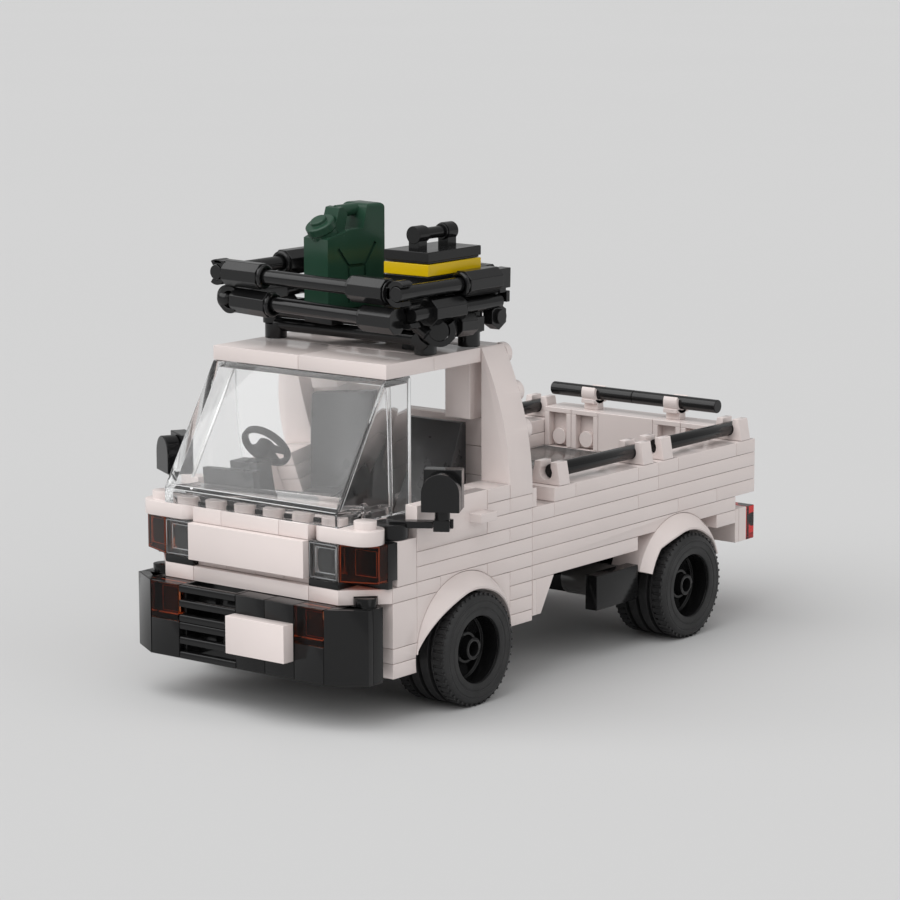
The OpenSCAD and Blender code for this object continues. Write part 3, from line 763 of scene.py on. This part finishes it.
class BRICKTRUCK_OT_grille(bpy.types.Operator):
    """Two stacked grille tiles with three slats each"""
    bl_idname = "brick_truck.grille"
    bl_label = "Grille"

    def execute(self, context):
        lo, hi = brick_box("grille_slats")
        core = brick_box("bumper_core")[0]
        tall = 2.5 * PLATE
        bm = bmesh.new()
        for tile in (0, 1):
            z0 = tile * tall
            for bar in (0, 1, 2):
                base = z0 + bar * 0.4 * tall
                verts = block(bm, (lo.x, lo.y, base), (hi.x, lo.y + 1.5, base + 0.2 * tall - 0.05))
                brow = [e for e in linked(verts, "link_edges")
                        if all(v.co.z > base + 1 and v.co.y < lo.y + 1 for v in e.verts)]
                rounded(bm, brow, offset=0.45, segments=2)
            for x in (lo.x, hi.x - 0.8):
                block(bm, (x, lo.y + 1.4, z0 + 0.02), (x + 0.8, hi.y, z0 + tall - 0.06))
            for x in (-1.5 * PITCH, -0.5 * PITCH):
                rod(bm, (x, hi.y - 0.05, z0 + 0.5 * tall), (x, hi.y - STUD_H, z0 + 0.5 * tall), STUD_R)
        block(bm, (lo.x, hi.y - 0.4, core.z), (hi.x, hi.y, 5 * PLATE - 0.1))
        settle(bm, "grille_tiles", black_plastic(), nodes=["grille_slats"])
        return {"FINISHED"}


class BRICKTRUCK_OT_windscreen(bpy.types.Operator):
    """Clear windscreen moulding with painted highlights on its edges, over a row of studs, with black blocks
    of painted shadow under its foot
    """
    bl_idname = "brick_truck.windscreen"
    bl_label = "Windscreen"

    def execute(self, context):
        lo, hi = brick_box("windscreen")
        self.moulding(lo, hi)
        # a rib inside the near side wall, and tubes in the near end of the foot
        bm = bmesh.new()
        y = PITCH + 2.2
        slab(bm, [(y, lo.z + 1.5), (y + 0.9, lo.z + 1.5), (y + 0.5, hi.z - 1.7), (y - 0.4, hi.z - 1.7)],
             "X", hi.x - 2.3, hi.x - 1.62)
        tube = [(2.2627, 0), (3.3941, 0), (3.3941, 1.7), (2.2627, 1.7)]
        for y in (0.3 * PITCH, 1.1 * PITCH):
            lathe(bm, tube, (2.45 * PITCH, y, lo.z + 0.1), UP, n=24)
        settle(bm, "windscreen_ribs", windscreen_plastic())
        self.painted_highlight_lines(lo, hi)
        bm = bmesh.new()
        for x in (-2.5, -1.5, -0.5, 0.5, 1.5, 2.5):
            stud(bm, x * PITCH, -PITCH / 2, 10 * PLATE - JOINT)
        settle(bm, "cowl_studs", white_plastic())
        # painted shadow: small black blocks beside the studs under the clear foot, standing in for the shade
        # of the ledge
        bm = bmesh.new()
        for x in (-2, -1, 0, 1, 2):
            x0, y = x * PITCH - 1.1, -PITCH / 2
            block(bm, (x0, y - 0.3, lo.z + 0.05), (x0 + 2.0, y + 0.3, lo.z + 0.9))
        settle(bm, "cowl_ribs", black_plastic())
        return {"FINISHED"}

    def moulding(self, lo, hi):
        """The clear piece itself, with a painted highlight in opaque white on its rear edge faces, and a
        cloudy foot.
        """
        bm = cad_mesh("windscreen")
        rear = SEAM0 + hi.y * MM
        foot = ROW0 + (lo.z + PLATE + 0.1) * MM
        for face in bm.faces:
            middle = face.calc_center_median()
            if face.normal.y > 0.9 and middle.y > rear - 0.0002:
                face.material_index = 1
            elif middle.z < foot and middle.y < SEAM0 + 0.5 * MM:
                face.material_index = 2
        placed(bm, "windscreen_moulding", [windscreen_plastic(), painted_highlight_plastic(), ledge_plastic()],
               nodes=["windscreen"], ease=1.6)

    def painted_highlight_lines(self, lo, hi):
        """Painted highlights: opaque white strips for the light that gathers in the near rear edge, the rib,
        the far side and the top of the foot.
        """
        ledge = lo.z + PLATE
        y0, y1 = -0.1 * PITCH, 1.8 * PITCH
        y = PITCH + 2.1
        bm = bmesh.new()
        block(bm, (hi.x + 0.01, hi.y - 0.75, lo.z + 0.6), (hi.x + 0.05, hi.y, hi.z - 0.4))
        slab(bm, [(y + 0.4, lo.z + 1.6), (y + 0.7, lo.z + 1.6), (y + 0.3, hi.z - 1.8), (y, hi.z - 1.8)],
             "X", hi.x - 2.38, hi.x - 2.31)
        slab(bm, [(y0, lo.z + 4.6), (y0 + 0.35, lo.z + 4.6), (y1 + 0.35, hi.z - 2.0), (y1, hi.z - 2.0)],
             "X", lo.x + 1.62, lo.x + 2.2)
        block(bm, (lo.x + 0.6, lo.y - 0.02, ledge - 0.12), (hi.x - 0.6, lo.y + 0.1, ledge + 0.02))
        block(bm, (lo.x + 1.0, lo.y + 1.0, ledge + 0.5), (hi.x - 1.0, lo.y + 1.1, ledge + 0.62))
        settle(bm, "windscreen_lines", painted_highlight_plastic(), ease=0)


# ---------------------------------------------------------------- cab

class BRICKTRUCK_OT_interior(bpy.types.Operator):
    """Dashboard, seats, steering column and wheel"""
    bl_idname = "brick_truck.interior"
    bl_label = "Cab interior"

    def execute(self, context):
        for node in ("dashboard", "seat_left", "seat_right"):
            eased(node, seat_plastic())
        hub = Vector((-1.5 * PITCH + 0.2, 1.43 * PITCH, 13.18 * PLATE))
        tilt = 57
        lean = Vector((0, math.sin(math.radians(tilt)), math.cos(math.radians(tilt))))
        bm = bmesh.new()
        ring = [(4.4, -0.6), (4.7, -0.9), (5.3, -0.9), (5.6, -0.6), (5.6, 0.4), (5.3, 0.7), (4.7, 0.7),
                (4.4, 0.4)]
        lathe(bm, ring, hub, lean, n=56)
        lathe(bm, [(0.01, -1.2), (2.0, -1.2), (2.0, 0.4), (1.5, 0.8), (0.01, 0.8)], hub, lean, n=40)
        for degrees, wide in ((10, 0.8), (170, 0.8), (90, 1.2)):
            spoke = turned(bm, block(bm, (1.2, -wide, -0.8), (4.7, wide, 0.1)), ORIGIN, "Z", degrees)
            moved(bm, turned(bm, spoke, ORIGIN, "X", -tilt), hub)
        rod(bm, hub, hub - lean * 3.0, 1.2)
        settle(bm, "steering_wheel_ring", black_plastic(), nodes=["steering_wheel"], ease=0.7)
        return {"FINISHED"}


class BRICKTRUCK_OT_mirrors(bpy.types.Operator):
    """Door mirrors: round base, arm with a clip box, post and a round-topped head"""
    bl_idname = "brick_truck.mirrors"
    bl_label = "Door mirrors"

    def execute(self, context):
        base = Vector((3.5 * PITCH, PITCH / 2, 9 * PLATE))
        reach, swing, turn = 10.9, 33, 29
        out = Vector((math.cos(math.radians(swing)), math.sin(math.radians(swing)), 0))
        post = base + out * reach
        foot = 10.85 * PLATE
        half, steps = 4.0, 16
        face = [(-half, 0), (half, 0)]
        face += [(half * math.cos(math.pi * k / steps), half + half * math.sin(math.pi * k / steps))
                 for k in range(steps + 1)]
        for side, node in ((1, "mirror_left"), (-1, "mirror_right")):
            tall = brick_box(node)[1].z - foot
            bm = bmesh.new()
            rod(bm, base, base + Vector((0, 0, PLATE)), 3.9, n=48)
            made = block(bm, (0, -1.3, 9.7 * PLATE), (reach - 1.9, 1.1, 10.15 * PLATE))
            made += block(bm, (reach - 1.8, -1.6, 9.5 * PLATE), (reach + 1.6, 1.6, 10.25 * PLATE))
            made += block(bm, (reach + 1.0, 0.4, 9.6 * PLATE), (reach + 2.2, 1.7, 10.2 * PLATE))
            moved(bm, made, (base.x, base.y, 0))
            turned(bm, made, base, "Z", swing)
            rod(bm, (post.x, post.y, 10.2 * PLATE), (post.x, post.y, foot + 0.2), BAR_R)
            made = slab(bm, face, "Y", -3.2, 0.0)
            made += block(bm, (-half, 0.15, 0), (half, 3.55, tall))
            moved(bm, made, (post.x, post.y, foot))
            turned(bm, made, post, "Z", turn)
            if side < 0:
                flipped(bm, bm.verts)
            settle(bm, node + "_head", black_plastic(), nodes=[node], ease=1.2)
        return {"FINISHED"}


# ---------------------------------------------------------------- rear

class BRICKTRUCK_OT_tail(bpy.types.Operator):
    """Tail lamps: white bracket and plate with a clear red lens"""
    bl_idname = "brick_truck.tail"
    bl_label = "Tail lamps"

    def execute(self, context):
        lo, hi = brick_box("tail_lamps")
        x0, x1 = 3 * PITCH + 0.1, 4 * PITCH - 0.1
        lens = hi.y - PLATE
        x, z = (x0 + x1) / 2, (lo.z + hi.z) / 2
        bm = bmesh.new()
        block(bm, (x0, lo.y, lo.z), (x1, lo.y + 1.5, hi.z))
        block(bm, (x0, lo.y + 1.6, lo.z), (x1, lens - 0.1, hi.z))
        mirrored(bm)
        settle(bm, "tail_brackets", white_plastic(), nodes=["tail_lamps"])
        bm = bmesh.new()
        block(bm, (x0, lens, lo.z), (x1, hi.y, hi.z))
        mirrored(bm)
        settle(bm, "tail_lenses", red_plastic())
        bm = bmesh.new()
        rod(bm, (x, lens + 0.2, z), (x, lens + 1.9, z), 1.6)
        mirrored(bm)
        settle(bm, "tail_lamp_studs", black_plastic())
        return {"FINISHED"}


# ---------------------------------------------------------------- roof rack and cargo

class BRICKTRUCK_OT_rack(bpy.types.Operator):
    """Roof rack of bars, holders and clips on round feet"""
    bl_idname = "brick_truck.rack"
    bl_label = "Roof rack"

    def execute(self, context):
        lo, hi = brick_box("rack_upper_frame")
        up = hi.z - 2.7
        low = brick_box("rack_lower_frame")[0].z + 2.7
        w = hi.x - 2.5
        y0, y1 = lo.y + 2.7, hi.y - 2.7
        self.top_bars(w, y0, y1, up, low)
        self.low_bars(w, y0, y1, low)
        self.feet(w, y0 + 13, y1 - 5, low)
        return {"FINISHED"}

    def top_bars(self, w, y0, y1, up, low):
        """The upper frame, its corner blocks and the posts of its rear corners."""
        inner = 1.5 * PITCH
        bm = bmesh.new()
        rod(bm, (-w + 4, y0, up), (w - 5, y0, up), BAR_R)
        rod(bm, (-w + 4, y1, up), (w - 4, y1, up), BAR_R)
        for s in SIDES:
            rod(bm, (s * w, y0 - 1.9, up), (s * w, y1 - 1, up), BAR_R)
        holder(bm, (-w + 2.2, y0, up), (-inner, y0, up))
        ring_clip(bm, (-w, y0, up), ALONG, start=235)
        block(bm, (-w - 0.6, y0 - 1.7, up + 1.9), (-w + 2.4, y0 + 1.7, up + 2.65))
        holder(bm, (w - 3.4, y0, up), (inner - 0.5, y0, up))
        rod(bm, (w - 3.3, y0, up), (w - 2.9, y0, up), 2.5)
        ring_clip(bm, (w, y0, up), ALONG, start=60)
        block(bm, (w - 2.9, y0 - 1.7, up - 1.3), (w - 1.6, y0 + 1.7, up + 1.3))
        for s in SIDES:
            x = s * w
            holder(bm, (x, y1 - 1.6, up), (x, y1 - 13.8, up))
            holder(bm, (s * (w - 2.2), y1, up), (s * inner, y1, up))
            block(bm, (x - 1.4, y1 - 1.5, up - 2.1), (x + 1.4, y1 + 2.6, up + 2.2))
            block(bm, (x - 1.0, y1 - 0.6, low + 2.8), (x + 1.0, y1 + 1.6, up - 2.0))
            block(bm, (x - 1.2, y1 + 1.5, up - 5.2), (x + 1.2, y1 + 2.7, up - 2.8))
        turned(bm, bm.verts[:], Vector((-w, y0, up)), "Y", 1.15)
        settle(bm, "rack_top_bars", bar_plastic(), nodes=["rack_upper_frame"])

    def low_bars(self, w, y0, y1, low):
        """The lower frame, a little askew at the front, with a ball joint at the far corner."""
        inner = 1.5 * PITCH
        bm = bmesh.new()
        rod(bm, (-w + 3, y0 + 1.3, low), (w - 4, y0 + 0.2, low - 0.9), BAR_R)
        rod(bm, (-w + 4, y1, low), (w - 4, y1, low), BAR_R)
        holder(bm, (-w + 3.4, y0 + 1.3, low), (-inner + 1.4, y0 + 0.9, low - 0.4))
        holder(bm, (w - 1.2, y0 + 0.2, low - 1.0), (w - 10.6, y0 + 0.2, low - 0.8))
        for s in SIDES:
            x = s * w
            rod(bm, (x, y0 + 3, low), (x, y1, low), BAR_R)
            holder(bm, (x, y0 + 8.6, low), (x, y0 + 19.5, low))
            holder(bm, (s * (w - 2), y1, low), (s * inner, y1, low))
            ring_clip(bm, (x, y0 + 3, low), ALONG, 55, width=3.0)
        ball = [(0.01, -2.0), (1.3, -1.8), (2.0, -1.1), (2.25, 0), (2.0, 1.1), (1.3, 1.8), (0.01, 2.0)]
        lathe(bm, ball, (-w + 0.4, y0 + 1.3, low), ACROSS, n=32)
        ring_clip(bm, (-w + 2.5, y0 + 1.3, low), ALONG, 55, width=3.6, r=1.9)
        settle(bm, "rack_low_bars", bar_plastic(), nodes=["rack_lower_frame"])

    def feet(self, w, front, rear, low):
        """Round feet, the thin cross bars, a hinge group and clamps beside them."""
        lo, hi = brick_box("rack_feet")
        x = 2.6 * PITCH
        bar = lo.z + 3.0
        foot = lo.z + PLATE
        bm = bmesh.new()
        rod(bm, (-x, front, bar), (x, front, bar), 1.45)
        rod(bm, (-x + 2, front - 1, bar + 3.0), (x - 1, front - 1, bar + 3.0), 1.3)
        for s in SIDES:
            for y in (front, rear):
                rod(bm, (s * x, y, lo.z), (s * x, y, foot), STUD_R, n=40)
                rod(bm, (s * (w - 3), y, foot), (s * (w - 3), y, hi.z), 2.0)
        # hinge group on the near front corner
        near = Vector((x + 4.2, front - 0.2, low - 4.0))
        ring_clip(bm, near, (0.5, -0.86, 0), start=325, r=2.2, wall=1.3, width=3.0)
        for a, b, r in (((-0.9, 1.5, 0), (0.9, -1.7, 0), 2.15),
                        ((-6.4, -3.6, 3.2), (-1.2, -2.6, -0.8), 1.35),
                        ((-6.9, -1.4, 1.4), (-1.6, -0.6, -2.4), 1.35)):
            rod(bm, near + Vector(a), near + Vector(b), r)
        claw = [(-6.4, -3.4), (-3.0, -4.4), (-1.6, -3.2), (-3.6, -2.2), (-4.6, -0.6), (-6.0, -1.8)]
        claw = [(near.x + across, near.z + up) for across, up in claw]
        for shift in (0, 2.4):
            slab(bm, claw, "Y", near.y - 2.2 + shift, near.y - 1.4 + shift)
        # clamps under both side bars
        y = rear + 4.2
        for s in SIDES:
            x = s * w
            rod(bm, (x, front + 4.5, low - 3.6), (x, front + 10.0, low - 3.8), 2.6, n=8, twist=22.5)
            block(bm, (x - 1.5, front + 10.2, low - 5.6), (x + 1.5, front + 13.2, low - 2.4))
            rod(bm, (s * (w - 1.6), y, low - 3.2), (s * (w + 0.9), y, low - 3.2), 2.9, n=6)
            rod(bm, (s * (w + 0.8), y, low - 3.2), (s * (w + 1.7), y, low - 3.2), 1.6)
            block(bm, (x - 1.2, rear + 3.2, low - 1.2), (x + 1.2, rear + 5.2, low + 1.0))
        settle(bm, "rack_round_feet", bar_plastic(), nodes=["rack_feet"], ease=0.9)


class BRICKTRUCK_OT_jerrycan(bpy.types.Operator):
    """Jerrycan with a stepped cap, an open handle and pressed grooves"""
    bl_idname = "brick_truck.jerrycan"
    bl_label = "Jerrycan"

    def execute(self, context):
        lo, hi = brick_box("jerrycan")
        base = Vector((-0.58 * PITCH, 3.64 * PITCH, lo.z))
        turn = 80
        green = plastic("dark_green_plastic", colours().green, 0.22, swing=0.12, specular=0.32)
        w, d, h = 16.0, 8.0, 15.0
        top = hi.z - lo.z
        neck = -w / 4 + 0.5
        bm = bmesh.new()
        slab(bm, [(-w / 2, 0), (w / 2, 0), (w / 2, top), (w / 2 - 4.9, top), (w / 2 - 6.0, h + 1.9),
                  (neck + 1.6, h + 1.7), (neck - 1.4, h + 0.9), (-w / 2 + 0.9, h + 0.4), (-w / 2, h)],
             "Y", -d / 2, d / 2)
        rounded(bm, [e for e in bm.edges if all(v.co.z > top - 0.1 for v in e.verts)], 1.0, 4)
        stand(bm, base, turn)
        piece = settle(bm, "jerrycan_body", green, nodes=["jerrycan"], ease=2.6)
        self.grooves(piece, base, turn, d)
        bm = bmesh.new()
        cap = [(0.0141, 0), (2.9698, 0), (2.9698, 1.3), (3.182, 1.5), (3.3234, 1.7), (3.3234, 3.2),
               (3.0406, 3.4), (1.8385, 3.45), (1.8385, 4.1), (1.6263, 4.25), (0.0141, 4.25)]
        lathe(bm, cap, ORIGIN, UP, n=48)
        turned(bm, bm.verts, ORIGIN, "Y", -30)
        moved(bm, bm.verts, (-w / 2 + 2.7, 0, h + 0.5))
        # strut and bar of the handle
        slab(bm, [(neck - 1.2, h + 0.8), (neck + 1.7, h + 1.5), (neck + 2.6, top - 1.9),
                  (neck + 1.4, top - 0.4), (neck + 0.2, top - 0.6), (neck - 0.9, h + 3.0)], "Y", -2.3, 2.3)
        rod(bm, (neck + 1.0, 0, top - 1.55), (w / 2 - 3.0, 0, top - 1.35), 1.35)
        stand(bm, base, turn)
        settle(bm, "jerrycan_cap", green, ease=1.4)
        return {"FINISHED"}

    def grooves(self, piece, base, turn, d):
        """A forked line pressed into both broad faces."""
        fork = (-2.2, 9.0), (2.4, 9.0)
        lines = (((-4.9, 12.6), fork[0]), ((5.2, 13.4), fork[1]), fork,
                 (fork[0], (-2.2, 1.4)), (fork[1], (2.4, 1.4)))
        tools = bmesh.new()
        for y in SIDES:
            for a, b in lines:
                strip(tools, a, b, y * d / 2, 0.7, 0.55)
        stand(tools, base, turn)
        carve(piece, tools)


def stand(bm, base, degrees):
    """Turns a piece drawn about its own foot and stands it on its place."""
    moved(bm, turned(bm, bm.verts, ORIGIN, "Z", degrees), base)


def strip(bm, a, b, y, wide, deep):
    """A straight cutter along a face, from a to b as (across, up)."""
    a, b = Vector((a[0], 0, a[1])), Vector((b[0], 0, b[1]))
    half = ((b - a).length + wide) / 2
    verts = block(bm, (-half, y - deep, -wide / 2), (half, y + deep, wide / 2))
    angle = math.atan2(b.z - a.z, b.x - a.x)
    bmesh.ops.rotate(bm, cent=ORIGIN, matrix=Matrix.Rotation(-angle, 3, "Y"), verts=verts)
    moved(bm, verts, (a + b) / 2)


class BRICKTRUCK_OT_toolbox(bpy.types.Operator):
    """Toolbox: dark base, yellow band, grooved lid and bar handle"""
    bl_idname = "brick_truck.toolbox"
    bl_label = "Toolbox"

    def execute(self, context):
        lo, hi = brick_box("toolbox_base")
        band = hi.z - 2.5
        yellow = plastic("yellow_plastic", colours().yellow, 0.2, specular=0.3)
        bm = bmesh.new()
        block(bm, lo, (hi.x, hi.y, band - 0.1))
        settle(bm, "toolbox_body", black_plastic(), nodes=["toolbox_base"])
        bm = bmesh.new()
        block(bm, (lo.x, lo.y, band), hi)
        settle(bm, "toolbox_band", yellow)
        lo, hi = brick_box("toolbox_lid")
        x, y = (lo.x + hi.x) / 2, (lo.y + hi.y) / 2
        lid = lo.z + 2.5
        head = hi.z - 1.9
        groove = 0.35
        collar = [(1.2, 0), (1.75, 0), (1.75, 0.5), (1.2, 0.5)]
        bm = bmesh.new()
        block(bm, (lo.x + groove, lo.y + groove, lo.z), (hi.x - groove, hi.y - groove, lo.z + 0.5))
        block(bm, (lo.x, lo.y, lo.z + 0.45), (hi.x, hi.y, lid))
        for s in SIDES:
            post = y + s * 5
            block(bm, (x - 1.35, post - 1.5, lid - 0.1), (x + 1.35, post + 1.5, head))
            rod(bm, (x, post - 1.6, head), (x, post + 1.6, head), 1.9, n=40)
            lathe(bm, collar, (x, y + s * 3.3, head), (0, -s, 0), n=32)
        rod(bm, (x, y - 5, head), (x, y + 5, head), 1.25)
        settle(bm, "toolbox_lid_and_handle", black_plastic(), nodes=["toolbox_lid"])
        return {"FINISHED"}


# ---------------------------------------------------------------- stage

class BRICKTRUCK_OT_stage(bpy.types.Operator):
    """Pale floor, soft studio light and the camera"""
    bl_idname = "brick_truck.stage"
    bl_label = "Stage"

    # each lamp's name, direction, strength and width in degrees
    LAMPS = (("key_light", (-0.35, -0.65, 0.95), 2.1, 75), ("fill_light", (0.75, -0.15, 0.65), 0.65, 70))
    SKY = 0.4
    FLOOR_HALF = 30
    # the camera's place in metres, its angles in degrees and its lens in millimetres
    CAMERA_AT = (0.4550913, -0.581229, 0.1761114)
    AZIMUTH = 38.0637
    ELEVATION = 9.9920
    ROLL = -0.110
    LENS = 133.82

    def execute(self, context):
        scene = context.scene
        self.floor(scene)
        self.world(scene)
        for name, way, strength, wide in self.LAMPS:
            lamp = bpy.data.lights.new(name, "SUN")
            lamp.energy = strength
            lamp.angle = math.radians(wide)
            lit = bpy.data.objects.new(name, lamp)
            lit.matrix_world = Vector(way).to_track_quat("Z", "Y").to_matrix().to_4x4()
            scene.collection.objects.link(lit)
        self.camera(scene)
        scene.view_settings.view_transform = "Standard"
        return {"FINISHED"}

    def floor(self, scene):
        bm = bmesh.new()
        bmesh.ops.create_grid(bm, x_segments=8, y_segments=8, size=self.FLOOR_HALF)
        mesh = bpy.data.meshes.new("studio_floor")
        bm.to_mesh(mesh)
        bm.free()
        floor = bpy.data.objects.new("studio_floor", mesh)
        scene.collection.objects.link(floor)
        material, tree, shader = surface("studio_floor")
        tree.links.new(tinted(tree, noise_field(tree, 3, 2), colours().floor, 0.004),
                       shader.inputs["Base Color"])
        shader.inputs["Roughness"].default_value = 0.9
        shader.inputs["Specular IOR Level"].default_value = 0.0
        mesh.materials.append(material)

    def world(self, scene):
        """White light from all round, behind a plain backdrop in the floor's colour."""
        world = bpy.data.worlds.new("studio")
        scene.world = world
        world.use_nodes = True
        tree = world.node_tree
        sky = tree.nodes["Background"]
        sky.inputs["Color"].default_value = (1, 1, 1, 1)
        sky.inputs["Strength"].default_value = self.SKY
        plain = tree.nodes.new("ShaderNodeBackground")
        plain.inputs["Color"].default_value = (*colours().floor, 1)
        plain.inputs["Strength"].default_value = 1.0
        by_ray(tree, "Is Camera Ray", sky.outputs["Background"], plain.outputs["Background"], "World Output")

    def camera(self, scene):
        azimuth, elevation, roll = (math.radians(a) for a in (self.AZIMUTH, self.ELEVATION, self.ROLL))
        back = Vector((math.sin(azimuth) * math.cos(elevation), -math.cos(azimuth) * math.cos(elevation),
                       math.sin(elevation)))
        right = Vector((math.cos(azimuth), math.sin(azimuth), 0))
        above = back.cross(right)
        across = right * math.cos(roll) + above * math.sin(roll)
        upward = above * math.cos(roll) - right * math.sin(roll)
        camera = bpy.data.cameras.new("camera")
        camera.lens = self.LENS
        camera.sensor_width = 36
        camera.clip_end = 200
        eye = bpy.data.objects.new("camera", camera)
        turn = Matrix((across, upward, back)).transposed().to_4x4()
        eye.matrix_world = Matrix.Translation(self.CAMERA_AT) @ turn
        scene.collection.objects.link(eye)
        scene.camera = eye


OPERATORS = (
    BRICKTRUCK_OT_stage, BRICKTRUCK_OT_bricks, BRICKTRUCK_OT_tyres, BRICKTRUCK_OT_rims,
    BRICKTRUCK_OT_arches, BRICKTRUCK_OT_gate, BRICKTRUCK_OT_lamps, BRICKTRUCK_OT_grille,
    BRICKTRUCK_OT_windscreen, BRICKTRUCK_OT_interior, BRICKTRUCK_OT_mirrors, BRICKTRUCK_OT_tail,
    BRICKTRUCK_OT_rack, BRICKTRUCK_OT_jerrycan, BRICKTRUCK_OT_toolbox,
)


class BRICKTRUCK_PT_panel(bpy.types.Panel):
    """Lists the pieces with their sizes and colours"""
    bl_label = "Brick Truck"
    bl_idname = "BRICKTRUCK_PT_panel"
    bl_space_type = "VIEW_3D"
    bl_region_type = "UI"
    bl_category = "Brick Truck"

    def draw(self, context):
        layout = self.layout
        for group in (context.scene.brick_truck_sizes, context.scene.brick_truck_colours):
            box = layout.box()
            for name in group.__annotations__:
                box.prop(group, name)
        for operator in OPERATORS:
            layout.operator(operator.bl_idname)


CLASSES = (BrickTruckSizes, BrickTruckColours) + OPERATORS + (BRICKTRUCK_PT_panel,)


def register():
    for cls in CLASSES:
        bpy.utils.register_class(cls)
    bpy.types.Scene.brick_truck_sizes = bpy.props.PointerProperty(type=BrickTruckSizes)
    bpy.types.Scene.brick_truck_colours = bpy.props.PointerProperty(type=BrickTruckColours)


def unregister():
    del bpy.types.Scene.brick_truck_colours
    del bpy.types.Scene.brick_truck_sizes
    for cls in reversed(CLASSES):
        bpy.utils.unregister_class(cls)


def main():
    register()
    for operator in OPERATORS:
        group, name = operator.bl_idname.split(".")
        getattr(getattr(bpy.ops, group), name)()


if __name__ == "__main__":
    main()
